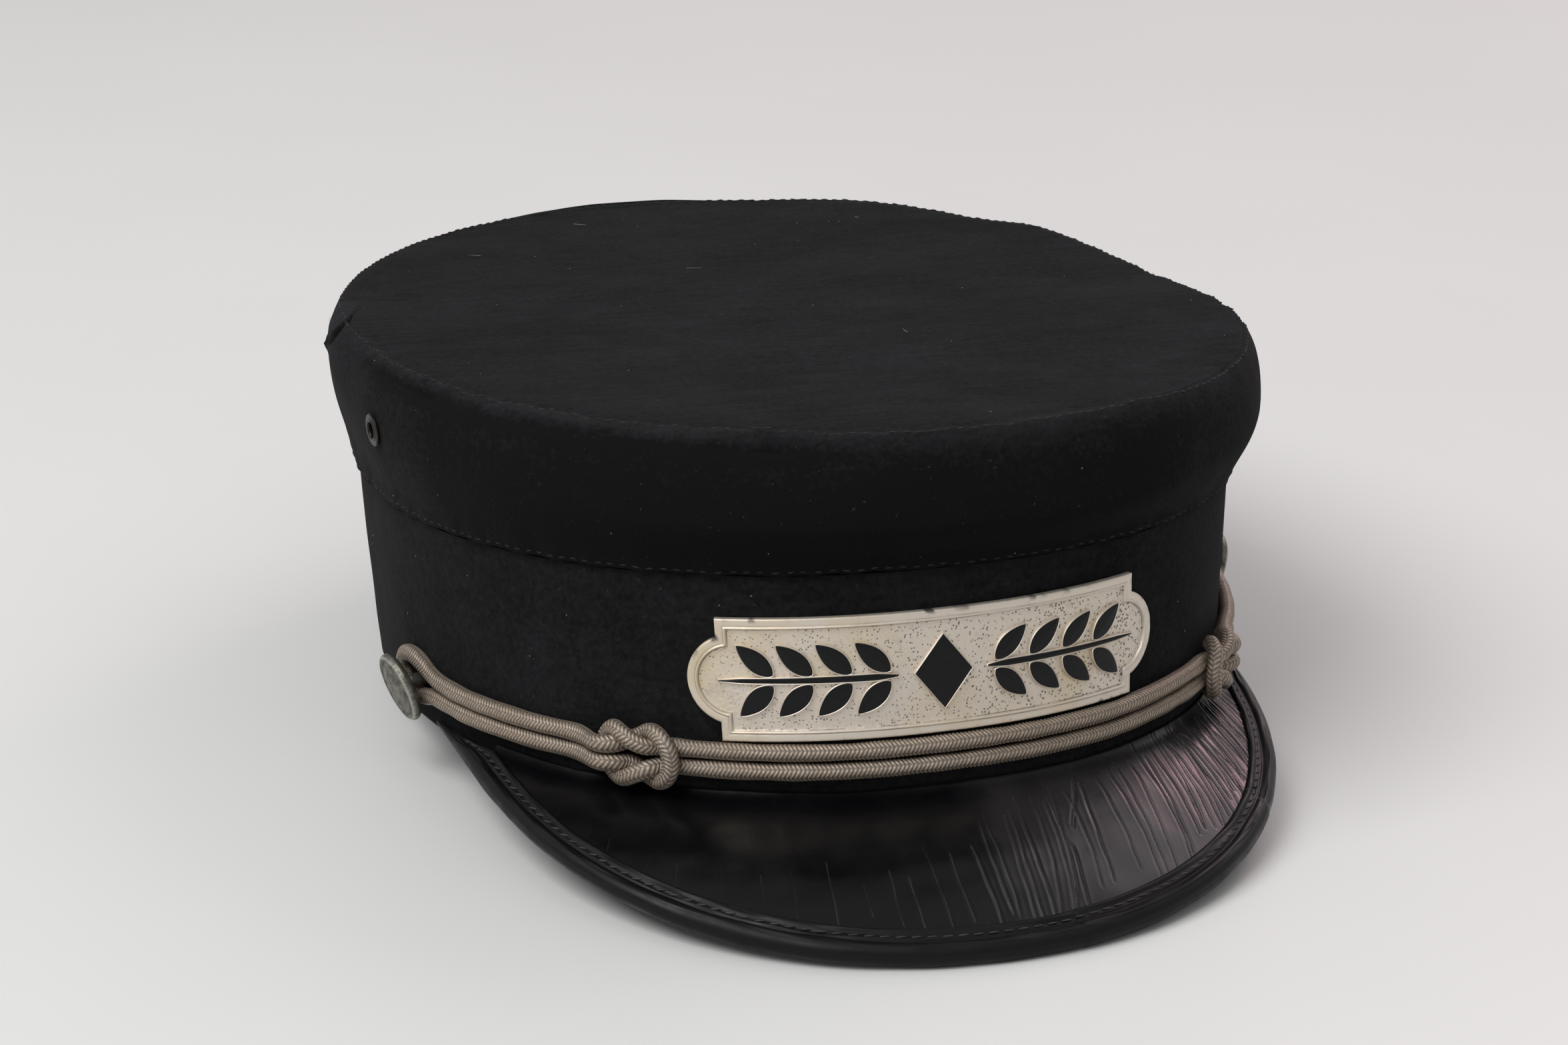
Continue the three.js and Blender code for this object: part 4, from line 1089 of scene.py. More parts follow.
def cloth_wall(part, places, uv, cloth, fields=None, holes=()):
    """One of the crown's cloth walls from its rows, drilled and finished."""
    wall = close_shell(grid_piece("cloth_" + part, places, uv, fields))
    if holes:
        drill(wall, holes, EYELET["barrel"] + 0.1)
    smooth(wall, 50)
    dress(wall, finish("wool serge, " + part, wool_serge, cloth), "cloth", "crown_" + part)


class CAP_OT_crown_side(bpy.types.Operator):
    """Models the flared side of the crown, from the band's seam to the top seam"""

    bl_idname = "porter_cap.crown_side"
    bl_label = "Crown side"

    def execute(self, context):
        cloth = context.scene.cap_cloth
        # Rows of the outer face, closer at both seams, by their distance down from the top
        near_band = np.array([0, 0.1, 0.25, 0.5, 0.8, 1.2, 1.6, 2.1, 2.8, 3.6, 4.6])
        near_top = np.array([
            7, 6.3, 5.6, 4.9, 4.4, 3.9, 3.5, 3.1, 2.7, 2.3, 1.9, 1.5, 1.2, 0.9, 0.65, 0.45,
            0.3, 0.15, 0,
        ])
        rising = np.linspace(SIDE_LENGTH - near_band[-1], near_top[0], 30)[1:-1]
        under = np.concatenate([SIDE_LENGTH - near_band, rising, near_top])[:, None]
        shift = eased(SEAM_SHIFT, ROUND)
        inside = shift * (1 - under / SIDE_LENGTH) - under
        skin, _ = crown_surface(inside, ROUND, cloth)
        inner_under = np.linspace(0, SIDE_LENGTH, 14)[:, None]
        inner_inside = shift * (1 - inner_under / SIDE_LENGTH) - inner_under
        off = crown_normal(inner_inside, ROUND)
        off[0] = [0, 0, 1]
        off[-1] = unit(off[-1] * [1, 1, 0])
        inner = crown_place(inner_inside, ROUND) - off * SIDE_WALL
        # Painted shade and painted highlight, with real wear, for the side's cloth colour
        wear = crown_wear_and_painted_light(inside, ROUND)
        depth = SIDE_LENGTH + 2 + 3 * np.arange(len(inner) + 1)
        holes = []
        for side in ("left", "right"):
            level, angle = np.array(EYELET["level"]), np.array(EYELET[side])
            centre, way = side_point(level, angle), side_normal(level, angle)
            holes.append((centre - way * SIDE_WALL * 2, centre + way * SIDE_WALL))
        cloth_wall(
            "side", np.concatenate([skin, inner, skin[:1]]),
            grid_uv(SEAM_ARC, np.concatenate([SIDE_LENGTH - under[:, 0], depth])), cloth,
            {"wear": np.concatenate([wear, 0 * inner, wear[:1]])}, holes,
        )
        return {"FINISHED"}


class CAP_OT_crown_top(bpy.types.Operator):
    """Models the slack oval panel on top, inside its seam"""

    bl_idname = "porter_cap.crown_top"
    bl_label = "Crown top"

    def execute(self, context):
        cloth = context.scene.cap_cloth
        near = np.array([0, 0.12, 0.25, 0.4, 0.6, 0.85, 1.15, 1.5, 2.0, 2.6, 3.3, 4.2, 5.2, 6.4])
        from_edge = np.concatenate([near, np.linspace(near[-1], TOP_RADIUS, 52)[1:]])[:, None]
        shift = eased(SEAM_SHIFT, ROUND)
        inside = shift + from_edge * (1 - shift / TOP_RADIUS)
        upper, _ = crown_surface(inside, ROUND, cloth)
        lower_edge = TOP_RADIUS * np.linspace(1, 0, 8)[:, None]
        lower = crown_place(shift + lower_edge * (1 - shift / TOP_RADIUS), ROUND)
        lower[..., 2] -= TOP_THICKNESS
        places = np.concatenate([lower, upper])
        # Painted shade and painted highlight, with real wear, for the top's cloth colour
        wear = np.concatenate([0 * lower, crown_wear_and_painted_light(inside, ROUND)])
        cloth_wall("top", places, places[..., :2].copy(), cloth, {"wear": wear})
        return {"FINISHED"}


class CAP_OT_crown_band(bpy.types.Operator):
    """Models the straight band below the crown, open where the head goes in"""

    bl_idname = "porter_cap.crown_band"
    bl_label = "Crown band"

    def execute(self, context):
        cloth = context.scene.cap_cloth
        head = BAND_HEAD[HEIGHT]
        low = np.array([0, 0.1, 0.25, 0.5, 0.9, 1.4, 2.0, 3.0, 4.5])
        up = np.concatenate([low, np.linspace(low[-1], head, 30)[1:]])[:, None]
        outer = oval_point(band_level(up), ROUND)
        wave = cloth.wave_height / MILLIMETRE
        relief = step_at(up, *FOOT_START) * cloth_waves(outer, BAND_WAVES)
        relief = wave * (relief + cloth_waves(outer, BAND_RIPPLES)) - rounding(up, FOOT_ROUNDING)
        skin = outer + outward(band_level(up), ROUND) * relief[..., None]
        inner_level = band_level(np.linspace(head, 0, 10)[:, None])
        inner = oval_point(inner_level, ROUND) - outward(inner_level, ROUND) * BAND_WALL
        depth = np.concatenate([up[:, 0], head + 2 + 4 * np.arange(len(inner) + 1)])
        cloth_wall(
            "band", np.concatenate([skin, inner, skin[:1]]),
            grid_uv(run_lengths(oval_point(BAND_HEAD, ROUND)), depth), cloth,
        )
        return {"FINISHED"}


def along_line(place, pitch, limit):
    """Angles of stitches a pitch apart, along a line that gives a place for an angle."""
    fine = np.linspace(-limit, limit, 20 * limit + 1)
    length = run_lengths(place(fine))
    count = int(length[-1] / pitch)
    return np.interp((np.arange(count) + 0.5) * length[-1] / count, length, fine)


def sewn(name, template, centres, aheads, offs, thread, slot):
    """A row of stitches, finished in its thread."""
    stitches = repeat_piece(name, template, centres, aheads, offs)
    smooth(stitches)
    dress(stitches, thread, slot)


def seam_stitches(name, line, pitch, lift, size, code, cloth):
    """Stitches round the crown, on a line that gives a place inside its seam for an angle."""
    angle = along_line(lambda fine: crown_place(line(fine), fine), pitch, 180)
    random = np.random.default_rng(31)
    inside = line(angle) + random.normal(0, 0.05, len(angle))
    places, normal = crown_surface(inside, angle, cloth)
    after, before = angle + 0.4, angle - 0.4
    ahead = unit(crown_place(line(after), after) - crown_place(line(before), before))
    ahead = ahead + random.normal(0, 0.07, ahead.shape)
    thread = finish("cotton thread, " + name, plain_thread, code, 0.8)
    sewn(name, stitch_template(*size), places + normal * lift, ahead, normal, thread, "cloth")


class CAP_OT_crown_stitches(bpy.types.Operator):
    """Sews the rows of topstitching along the crown's two seams"""

    bl_idname = "porter_cap.crown_stitches"
    bl_label = "Crown stitches"

    def execute(self, context):
        cloth = context.scene.cap_cloth
        seam_stitches(
            "top_stitches", lambda angle: eased(SEAM_SHIFT, angle) - 0.75, 2.4, 0.02,
            (1.5, 0.36, 0.28), "#2c2c2d", cloth,
        )
        seam_stitches(
            "band_stitches", lambda angle: 1.5 - SIDE_LENGTH + 0 * angle, 2.5, 0.0,
            (1.6, 0.38, 0.28), "#292929", cloth,
        )
        return {"FINISHED"}


# Pieces: the peak

# How the varnish has cracked along the peak, by angle: distance between cracks in
# millimetres, how open they are, how they lean off straight out in degrees a millimetre,
# and the share of the peak's reach at which they start
CRACK_ANGLE, CRACK_PITCH, CRACK_OPEN, CRACK_LEAN, CRACK_FOOT = range(5)
CRACKS = np.array([
    (-57, 12, 0.10, 0.10, 0.50), (-30, 8, 0.20, 0.10, 0.50), (-18, 6, 0.35, 0.07, 0.50),
    (-6, 4.5, 0.50, 0.05, 0.42), (1, 3.2, 0.80, -0.02, 0.25), (4, 2.0, 1.00, -0.05, 0.12),
    (9, 2.2, 1.00, -0.15, 0.05), (12, 4.6, 0.90, -0.14, 0.05), (19, 3.4, 0.90, -0.19, 0),
    (25, 1.9, 1.00, -0.29, 0), (33, 1.35, 1.50, -0.29, 0), (42, 1.2, 1.70, -0.42, 0),
    (50, 1.3, 0.50, -0.45, 0), (57, 2, 0.20, -0.45, 0),
])
# How single cracks vary: place between their neighbours, spread of their lean, how far and
# how often one is skewed, where they start and end as shares of the reach, and openness
CRACK_PLACE, LEAN_SPREAD, SKEW, SKEW_SHARE = (0.2, 0.8), 0.012, 0.14, 0.08
START_VARIES, END_VARIES, OPEN_VARIES = (-0.08, 0.12), (0.82, 1.05), (0.4, 1)
# Each crack wanders in a long wave and a short one: their heights, and how long they are
WANDER, WANDER_BEND, SHORT_WANDER, SHORT_BEND = 0.28, (5, 9), 0.07, 1.6
# Long cracks that cross others: angles of their two ends, and distances out of the ends
LONG_CRACKS = [(16.7, 9.9, 0, 18), (9.9, 7.3, 18, 36), (11.2, 9.4, 2, 17), (9.4, 6.3, 17, 36)]
# Relief of the peak's top: half the width of a crack's groove; the ridge beside it, as a
# share of its depth, its place and spread; soft waves, as height, length and seed; and how
# far the leather turns up where it meets the band, and how far out that reaches
CRACK_GROOVE = 0.28
CRACK_RIDGE = (0.3, 0.6, 0.35)
PEAK_WAVES = [(0.10, 30, 44), (0.03, 9, 45)]
ROOT_TURN_UP, TURN_UP_REACH = 0.9, 2.6
# The varnish's bloom: the angles over which it starts and thins out, the share that is lost
# there, the share that is left far from the band, and the distance over which it fades
BLOOM_START, BLOOM_END, BLOOM_LOSS, BLOOM_FAR, BLOOM_FADE = (0.5, 5), (36, 45), 0.75, 0.62, 10
# Its ragged edge and its patches, as height, length and seed of their waves
BLOOM_RAGGED, BLOOM_PATCHY = (0.5, 9, 46), (0.1, 12, 47)


def crack_paths():
    """Each crack's angle at the band, lean, distances out of its ends, and openness."""
    random = np.random.default_rng(41)
    limit = CRACKS[-1, CRACK_ANGLE]
    fine = np.linspace(-limit, limit, 1141)
    line = on_peak(fine, 0.5 * peak_reach(fine), 0)
    pitch = np.interp(fine, CRACKS[:, CRACK_ANGLE], CRACKS[:, CRACK_PITCH])
    number = np.concatenate([[0], np.cumsum(np.diff(run_lengths(line)) / pitch[1:])])
    count = int(number[-1])
    starts = np.interp(np.arange(count) + random.uniform(*CRACK_PLACE, count), number, fine)
    paths = []
    for start in starts:
        reach = peak_reach(start)
        opening, lean, foot = (
            np.interp(start, CRACKS[:, CRACK_ANGLE], CRACKS[:, column])
            for column in (CRACK_OPEN, CRACK_LEAN, CRACK_FOOT)
        )
        lean += random.normal(0, LEAN_SPREAD) + SKEW * (random.random() < SKEW_SHARE)
        low = reach * (foot + random.uniform(*START_VARIES))
        high = reach * random.uniform(*END_VARIES)
        opening *= random.uniform(*OPEN_VARIES)
        paths.append((start - lean * reach / 2, lean, low, high, opening))
    for first, last, low, high in LONG_CRACKS:
        lean = (last - first) / (high - low)
        paths.append((first - lean * low, lean, low, high, 1.0))
    return paths


# A distance beyond any crack, in millimetres, and a small turn in degrees
FAR_OFF, ANGLE_STEP = 9.0, 0.1


def crack_field(angle, out):
    """Signed distance to the nearest crack, its size, and how open the crack is."""
    random = np.random.default_rng(42)
    step = ANGLE_STEP
    turn = on_peak(angle + step, out, 0 * out) - on_peak(angle - step, out, 0 * out)
    scale = np.linalg.norm(turn, axis=-1) / (2 * step)
    signed, nearest = np.full((2, *angle.shape), FAR_OFF)
    openness = np.zeros(angle.shape)
    for root, lean, low, high, opening in crack_paths():
        phase, bend = random.uniform(0, 2 * math.pi), random.uniform(*WANDER_BEND)
        wander = WANDER * np.sin(out / bend + phase)
        wander = wander + SHORT_WANDER * np.sin(out / SHORT_BEND + 3 * phase)
        distance = (angle - root - lean * out) * scale - wander
        window = between(out, (low - 1, low + 2), (high - 3, high))
        away = np.abs(distance) + 2 * (1 - window)
        nearer = away < nearest
        signed = np.where(nearer, distance, signed)
        openness = np.where(nearer, opening * window, openness)
        nearest = np.minimum(nearest, away)
    return np.stack([signed, nearest, openness], -1)


def bloom(angle, out):
    """How much the varnish has bloomed to a dull grey: towards the wearer's left, with a
    ragged edge in front, and most near the band."""
    place = np.stack([arc_at(angle) + 0 * out, out], -1)
    spread = step_at(angle + wavy(place, BLOOM_RAGGED), *BLOOM_START)
    spread = spread * (1 - BLOOM_LOSS * step_at(angle, *BLOOM_END))
    spread = spread * mix(BLOOM_FAR, 1, np.exp(-out / BLOOM_FADE))
    return spread * (1 - BLOOM_PATCHY[0] + wavy(place, BLOOM_PATCHY))


class CAP_OT_peak(bpy.types.Operator):
    """Models the patent leather of the peak, with its cracked varnish"""

    bl_idname = "porter_cap.peak"
    bl_label = "Peak"

    def execute(self, context):
        leather = context.scene.cap_leather
        limit = PEAK["half_angle"] * PEAK["leather_share"]
        angle = np.concatenate([np.linspace(-limit, 0, 401)[:-1], np.linspace(0, limit, 801)])[None]
        edge = peak_reach(angle) - BINDING["bead"] + PEAK["end"]
        undercut = PEAK["thickness"] * math.tan(math.radians(PEAK["slope"]))
        near_root = np.array([0, 0.1, 0.3, 0.6, 1.0, 1.5, 2.1, 2.8]) / 40
        share = np.concatenate([near_root, np.linspace(near_root[-1], 1, 58)[1:]])[::-1, None]
        out = mix(CLEARANCE, edge, share)
        top = on_peak(angle, out, 0 * out)
        normal = unit(np.cross(np.gradient(top, axis=1), np.gradient(top, axis=0)))
        arc = arc_at(angle)
        field = crack_field(angle + 0 * out, out)
        place = np.stack([arc + 0 * out, out], -1)
        depth = leather.crack_depth / MILLIMETRE * field[..., 2]
        nearest = field[..., 1]
        relief = depth * (ridge(nearest, CRACK_RIDGE) - bump_at(nearest, CRACK_GROOVE))
        relief += sum(wavy(place, shape) for shape in PEAK_WAVES)
        relief += ROOT_TURN_UP * np.clip(1 - out / TURN_UP_REACH, 0, 1) ** 2
        relief -= rounding(out - CLEARANCE, 0.25)
        top = top + normal * relief[..., None]
        bottom_out = mix(CLEARANCE + undercut, edge, np.linspace(0, 1, 8)[:, None])
        bottom = on_peak(angle, bottom_out, 0 * bottom_out - PEAK["thickness"])
        places = np.concatenate([bottom, top, bottom[:1]])
        across = np.concatenate([-bottom_out, out, -bottom_out[:1]])
        uv = np.stack([arc + 0 * across, across], -1)
        blank = np.zeros(bottom.shape)
        dull = as_vectors(bloom(angle, out))
        fields = {
            "cracks": np.concatenate([blank, field, blank[:1]]),
            "bloom": np.concatenate([blank, dull, blank[:1]]),
        }
        peak = close_shell(grid_piece("patent_peak", places, uv, fields), fill=True)
        smooth(peak, 60)
        varnish = finish("patent leather, peak", patent_leather, leather, True)
        dress(peak, varnish, "patent_leather", "peak")
        return {"FINISHED"}


# The binding's top face across, from its inner edge to the bead: distance from the inner
# edge as a share of the flap, and height over the flap's plain face
FLAP_SECTION = np.array([
    (0.0, -0.55), (0.03, -0.26), (0.08, -0.10), (0.16, -0.06), (0.25, -0.14), (0.34, -0.32),
    (0.44, -0.40), (0.53, -0.36), (0.59, -0.44), (0.65, -0.68), (0.70, -0.56), (0.76, -0.28),
    (0.84, -0.08), (0.92, -0.01), (1.0, 0),
])
# The overlapping strip of the binding: the angles over which each of its two ends steps
LAP_START, LAP_END = (5.95, 6.45), (32.2, 32.8)
LAP_HEIGHT = 0.22
# The bead is pressed in along a faint line, by turn round it, and worn flat below
BEAD_LINE = (-0.07, 0.5, 0.12)
BEAD_FLAT = 0.03
# The share of the overlap's height that shows in the bead
BEAD_LAP = 0.6
# Ripples of the flap and the bead, as height, length and seed, and how far they move on
# across the flap and round the bead
FLAP_RIPPLE, FLAP_SHIFT = (0.05, 7, 51), 20
BEAD_RIPPLE, BEAD_SHIFT = (0.03, 9, 52), 3
# The binding's stitches: place across the flap, depth in its channel, pitch and size
STITCH_SHARE, STITCH_DEPTH, STITCH_PITCH = 0.45, 0.46, 2.7
STITCH_SIZE = (2.0, 0.42, 0.40)
STITCH_END = 62


def binding_section(angle):
    """Inner edge, bead centre, scale and face height of the binding at an angle."""
    reach = peak_reach(angle)
    size = np.minimum(1, reach / BINDING["full_reach"])
    bead = reach - BINDING["bead"] * size
    gap = mix(BINDING["tip_gap"], BINDING["root_gap"], size)
    inner = np.maximum(reach - BINDING["width"], gap)
    slot = PEAK["thickness"] / 2 + CLEARANCE
    return inner, bead, size, slot, slot + BINDING["flap"]


def lap(angle):
    """How far the overlapping strip of the binding stands up."""
    return LAP_HEIGHT * between(angle, LAP_START, LAP_END)


class CAP_OT_binding(bpy.types.Operator):
    """Models the folded and stitched binding on the peak's edge, and its stitches"""

    bl_idname = "porter_cap.binding"
    bl_label = "Peak binding"

    def execute(self, context):
        leather = context.scene.cap_leather
        limit = PEAK["half_angle"] * PEAK["binding_share"]
        plain = np.linspace(-limit, limit, 541)
        laps = np.concatenate([
            sum(end) / 2 + np.linspace(-0.35, 0.35, 11) for end in (LAP_START, LAP_END)
        ])
        angle = np.unique(np.concatenate([plain, laps]))
        inner, bead, size, slot, face = binding_section(angle)
        place = np.stack([arc_at(angle), 0 * angle], -1)
        rows = []
        fine = np.linspace(0, 1, 34)
        heights = np.interp(fine, FLAP_SECTION[:, 0], FLAP_SECTION[:, 1])
        heights = np.convolve(np.pad(heights, 1, mode="edge"), [0.25, 0.5, 0.25], "valid")
        full = np.clip((bead - inner) / (BINDING["width"] - BINDING["bead"]), 0, 1)
        for share, height in zip(fine, heights):
            ripple = wavy(place + [0, FLAP_SHIFT * share], FLAP_RIPPLE)
            up = face + height * full + ripple - BINDING["step_down"] * (1 - share)
            rows.append((mix(inner, bead, share), up + lap(angle)))
        for turn in np.linspace(math.pi / 2, -math.pi / 2, 30)[1:-1]:
            swell = BINDING["bead"] + BEAD_LAP * lap(angle) + ridge(turn, BEAD_LINE)
            swell = swell + wavy(place + [0, BEAD_SHIFT * turn], BEAD_RIPPLE)
            swell = swell - BEAD_FLAT * (1 - math.sin(turn))
            rows.append((bead + size * swell * math.cos(turn), swell * math.sin(turn)))
        for share in np.linspace(1, 0, 6):
            under = BINDING["step_down"] * (1 - share) - face
            rows.append((mix(inner, bead, share), 0 * angle + under))
        slot_end = bead + (PEAK["end"] + CLEARANCE) * size
        rows.append((inner, 0 * angle - slot))
        rows.append((slot_end, 0 * angle - slot))
        rows.append((slot_end, 0 * angle + slot))
        rows.append((inner, 0 * angle + slot))
        rows.append(rows[0])
        out = np.array([row[0] for row in rows])
        up = np.array([row[1] for row in rows]) * size - PEAK["thickness"] / 2
        places = on_peak(angle[None, :], out, up)
        uv = grid_uv(arc_at(angle), np.arange(len(rows)) * 0.25)
        binding = close_shell(grid_piece("patent_binding", places, uv), fill=True)
        smooth(binding, 60)
        varnish = finish("patent leather, binding", patent_leather, leather, False)
        dress(binding, varnish, "patent_leather", "peak_binding")
        self.sew()
        return {"FINISHED"}

    def sew(self):
        """Stitches in the binding's channel."""
        def channel(angle):
            inner, bead, size, _, face = binding_section(angle)
            height = (face - STITCH_DEPTH + lap(angle)) * size - PEAK["thickness"] / 2
            return mix(inner, bead, STITCH_SHARE), height

        angle = along_line(
            lambda fine: on_peak(fine, channel(fine)[0], 0 * fine), STITCH_PITCH, STITCH_END,
        )
        out, up = channel(angle)
        centres = on_peak(angle, out, up)
        ahead = on_peak(angle + 0.3, out, up) - on_peak(angle - 0.3, out, up)
        off = on_peak(angle, out, up + 1) - centres
        thread = finish("waxed thread, binding", plain_thread, "#3a3534", 0.5)
        sewn(
            "binding_stitches", stitch_template(*STITCH_SIZE), centres, ahead, off, thread,
            "patent_leather",
        )


# Pieces: the cord

# The plait: how wide and deep the gap between its columns is, and how the cord swells, as
# height, length and seed
COLUMN_GAP, COLUMN_DIP, CORD_SWELL = 0.16, 0.06, (0.05, 9, 61)
# Strands that cross in a knot press each other wider and flatter, over a distance
PRESS_REACH, PRESSED_WIDER, PRESSED_FLATTER = 8, 0.05, 0.10


def cord_height(along):
    """Height of the line between the strands."""
    return eased(CORD_HEIGHTS, angle_at(along))


# The knots are drawn tight: the dressed bights are this much shorter, narrower and lower
TIGHT_LENGTH, TIGHT_WIDTH, TIGHT_LIFT = 0.88, 0.74, 0.80


def drawn_tight(table):
    """A bight's rows after the knot is drawn tight."""
    return [
        (TIGHT_LENGTH * along, up if up < STRAND_OFFSET else mix(STRAND_OFFSET, up, TIGHT_WIDTH),
         mix(STRAND_LIFT, off, TIGHT_LIFT))
        for along, up, off in table
    ]


def whole_bight(table, centre, facing):
    """Both halves of a bight, which share its tip."""
    upper = [(centre + facing * along, up, off) for along, up, off in table]
    lower = [(centre + facing * along, -up, off) for along, up, off in reversed(table)]
    return upper + lower[1:]


def leg(start, end, side):
    """Plain stretch of a strand between two bights."""
    count = max(1, round(abs(end - start) / LEG_PITCH))
    return [
        (mix(start, end, i / count), side * STRAND_OFFSET, STRAND_LIFT) for i in range(1, count)
    ]


def loop_route(side):
    """Rows of the ring from a knot round its button and back."""
    facing = 1 if side == "left" else -1
    knot = arc_at(KNOT_ANGLES[side])
    button = arc_at(BUTTON_ANGLES[side])
    over = drawn_tight(OVER_BIGHT)
    first = knot + facing * over[0][0]
    last = button + facing * BUTTON_BIGHT[0][0]
    at_button = whole_bight(BUTTON_BIGHT, button, facing)[::-1]
    return whole_bight(over, knot, facing) + leg(first, last, -1) + at_button + leg(last, first, 1)


def run_route():
    """Rows of the ring across the front, from knot to knot and back."""
    left, right = arc_at(KNOT_ANGLES["left"]), arc_at(KNOT_ANGLES["right"])
    under = drawn_tight(UNDER_BIGHT)
    start, end = left + under[0][0], right - under[0][0]
    at_right = whole_bight(under, right, -1)[::-1]
    return whole_bight(under, left, 1) + leg(start, end, -1) + at_right + leg(end, start, 1)


def smooth_ring(route, steps=30):
    """Closed centripetal spline through a route: its points, and its distance along the band."""
    route = np.array(route)
    along = route[:, 0]
    points = on_band(along, cord_height(along) + route[:, 1], route[:, 2])
    before, after, later = np.roll(points, 1, 0), np.roll(points, -1, 0), np.roll(points, -2, 0)
    gap0, gap1, gap2 = (
        np.sqrt(np.linalg.norm(b - a, axis=1))[:, None]
        for a, b in ((before, points), (points, after), (after, later))
    )
    slope1 = (points - before) / gap0 - (after - before) / (gap0 + gap1) + (after - points) / gap1
    slope2 = (after - points) / gap1 - (later - points) / (gap1 + gap2) + (later - after) / gap2
    slope1, slope2 = slope1 * gap1, slope2 * gap1
    t = (np.arange(steps) / steps)[None, :, None]
    cubic = 2 * points - 2 * after + slope1 + slope2
    square = -3 * points + 3 * after - 2 * slope1 - slope2
    curve = (
        points[:, None] + slope1[:, None] * t + square[:, None] * t ** 2 + cubic[:, None] * t ** 3
    )
    places = mix(along[:, None], np.roll(along, -1)[:, None], t[..., 0])
    return curve.reshape(-1, 3), places.ravel()


def braid(name, route, node, cord):
    """A closed ring of plaited cord."""
    curve, along = smooth_ring(route)
    curve = np.concatenate([curve, curve[:1]])
    along = np.concatenate([along, along[:1]])
    length = run_lengths(curve)
    pitch = length[-1] / round(length[-1] / (cord.pitch / MILLIMETRE))
    count = round(length[-1] / (pitch / 4))
    at = np.linspace(0, length[-1], count + 1)
    centre = np.stack([np.interp(at, length, curve[:, k]) for k in range(3)], -1)
    at_band = np.interp(at, length, along)
    off = outward(BAND_FOOT, angle_at(at_band))
    pressed = sum(
        bump_at(at_band - arc_at(angle), PRESS_REACH) for angle in KNOT_ANGLES.values()
    )[:, None, None]
    ring = centre[:-1]
    ahead = unit(np.roll(ring, -3, 0) - np.roll(ring, 3, 0))
    ahead = np.concatenate([ahead, ahead[:1]])
    across = unit(np.cross(ahead, off))
    out = np.cross(across, ahead)
    sides = cord.columns * 5
    around = np.arange(sides + 1) / sides
    column = around * cord.columns
    zigzag = np.abs((column + 1) % 2 - 1)
    phase = at[:, None] / pitch + zigzag[None, :] * cord.slant
    crest = 0.5 - 0.5 * np.cos(2 * np.pi * phase)
    valley = bump_at((column + 0.5) % 1 - 0.5, COLUMN_GAP)
    relief = cord.relief / MILLIMETRE
    swell = wavy(round_place(at, length[-1]), CORD_SWELL)
    radius = CORD_RADIUS + relief * (crest - 0.45) * (1 - 0.6 * valley) - COLUMN_DIP * valley
    radius = radius + swell[:, None]
    turn = 2 * np.pi * around
    wide = (1 + PRESSED_WIDER * pressed) * across[:, None]
    deep = (1 - PRESSED_FLATTER * pressed) * out[:, None]
    ring_out = np.cos(turn)[None, :, None] * wide + np.sin(turn)[None, :, None] * deep
    places = centre[:, None] + radius[..., None] * ring_out
    uv = np.stack(np.broadcast_arrays(at[:, None] / pitch, around), -1)
    piece = close_shell(grid_piece(name, places, uv))
    smooth(piece)
    dress(piece, finish("metallic braid, " + name, metallic_braid, cord), "braid", node)


class CAP_OT_cord(bpy.types.Operator):
    """Plaits the cord: the run across the front and the loop to each button"""

    bl_idname = "porter_cap.cord"
    bl_label = "Braided cord"

    def execute(self, context):
        cord = context.scene.cap_cord
        braid("braid_run", run_route(), "cord_run", cord)
        for side in ("left", "right"):
            braid("braid_loop_" + side, loop_route(side), "cord_loop_" + side, cord)
        return {"FINISHED"}


# Pieces: metalwork

def axes_of(direction):
    """Two directions square to a third."""
    direction = unit(np.asarray(direction, float))
    first = unit(np.cross([0, 0, 1.0], direction))
    return first, np.cross(direction, first), direction


def turned(name, profile, origin, direction, sides, relief=None, worn=None):
    """A turned shell: profile rows are radius and height along the axis."""
    first, second, axis = axes_of(direction)
    turn = np.linspace(0, 2 * np.pi, sides + 1)
    radius = profile[:, 0, None] + 0 * turn
    height = profile[:, 1, None] + 0 * turn
    flat_x, flat_y = radius * np.cos(turn), radius * np.sin(turn)
    if relief is not None:
        height = height + relief(flat_x, flat_y)
    places = origin + sum(
        size[..., None] * way for size, way in ((flat_x, first), (flat_y, second), (height, axis))
    )
    field = as_vectors(0 * radius, 0 if worn is None else worn[:, None])
    uv = np.stack([flat_x, flat_y], -1)
    return close_shell(grid_piece(name, places, uv, {"plate": field}))


def refine(rows, count):
    """More rows between a section's rows, evenly along it."""
    rows = np.array(rows, float)
    length = run_lengths(rows)
    at = np.unique(np.concatenate([np.linspace(0, length[-1], count), length]))
    return np.stack([np.interp(at, length, rows[:, 0]), np.interp(at, length, rows[:, 1])], -1)


# Section of a button's head: a flat back, a rolled rim and a domed face
BUTTON_SECTION = [
    (0, -0.2), (5.2, -0.2), (5.9, -0.15), (6.45, 0.1), (6.8, 0.5), (6.92, 0.95), (6.85, 1.35),
    (6.65, 1.7), (6.35, 1.9), (6.0, 1.88), (5.75, 1.65), (5.6, 1.45), (5.2, 1.6), (4.2, 2.05),
    (3.1, 2.33), (1.6, 2.47), (0, 2.5),
]
# The button's face: where its relief ends, the height of its bars, and its ring as height,
# radius and spread
FACE_EDGE, FACE_BARS, FACE_RING = (4.3, 4.9), 0.20, (0.16, 5.0, 0.22)
# Rims rubbed bright and painted with a highlight, by radius and by height: of a button, and of an
# eyelet
BUTTON_RUBBED_AND_HIGHLIT = (1, 6.5, 0.5), (0.3, 1.2)
EYELET_RUBBED_AND_HIGHLIT = (1, 3.05, 0.14), (0.3, 0.6)


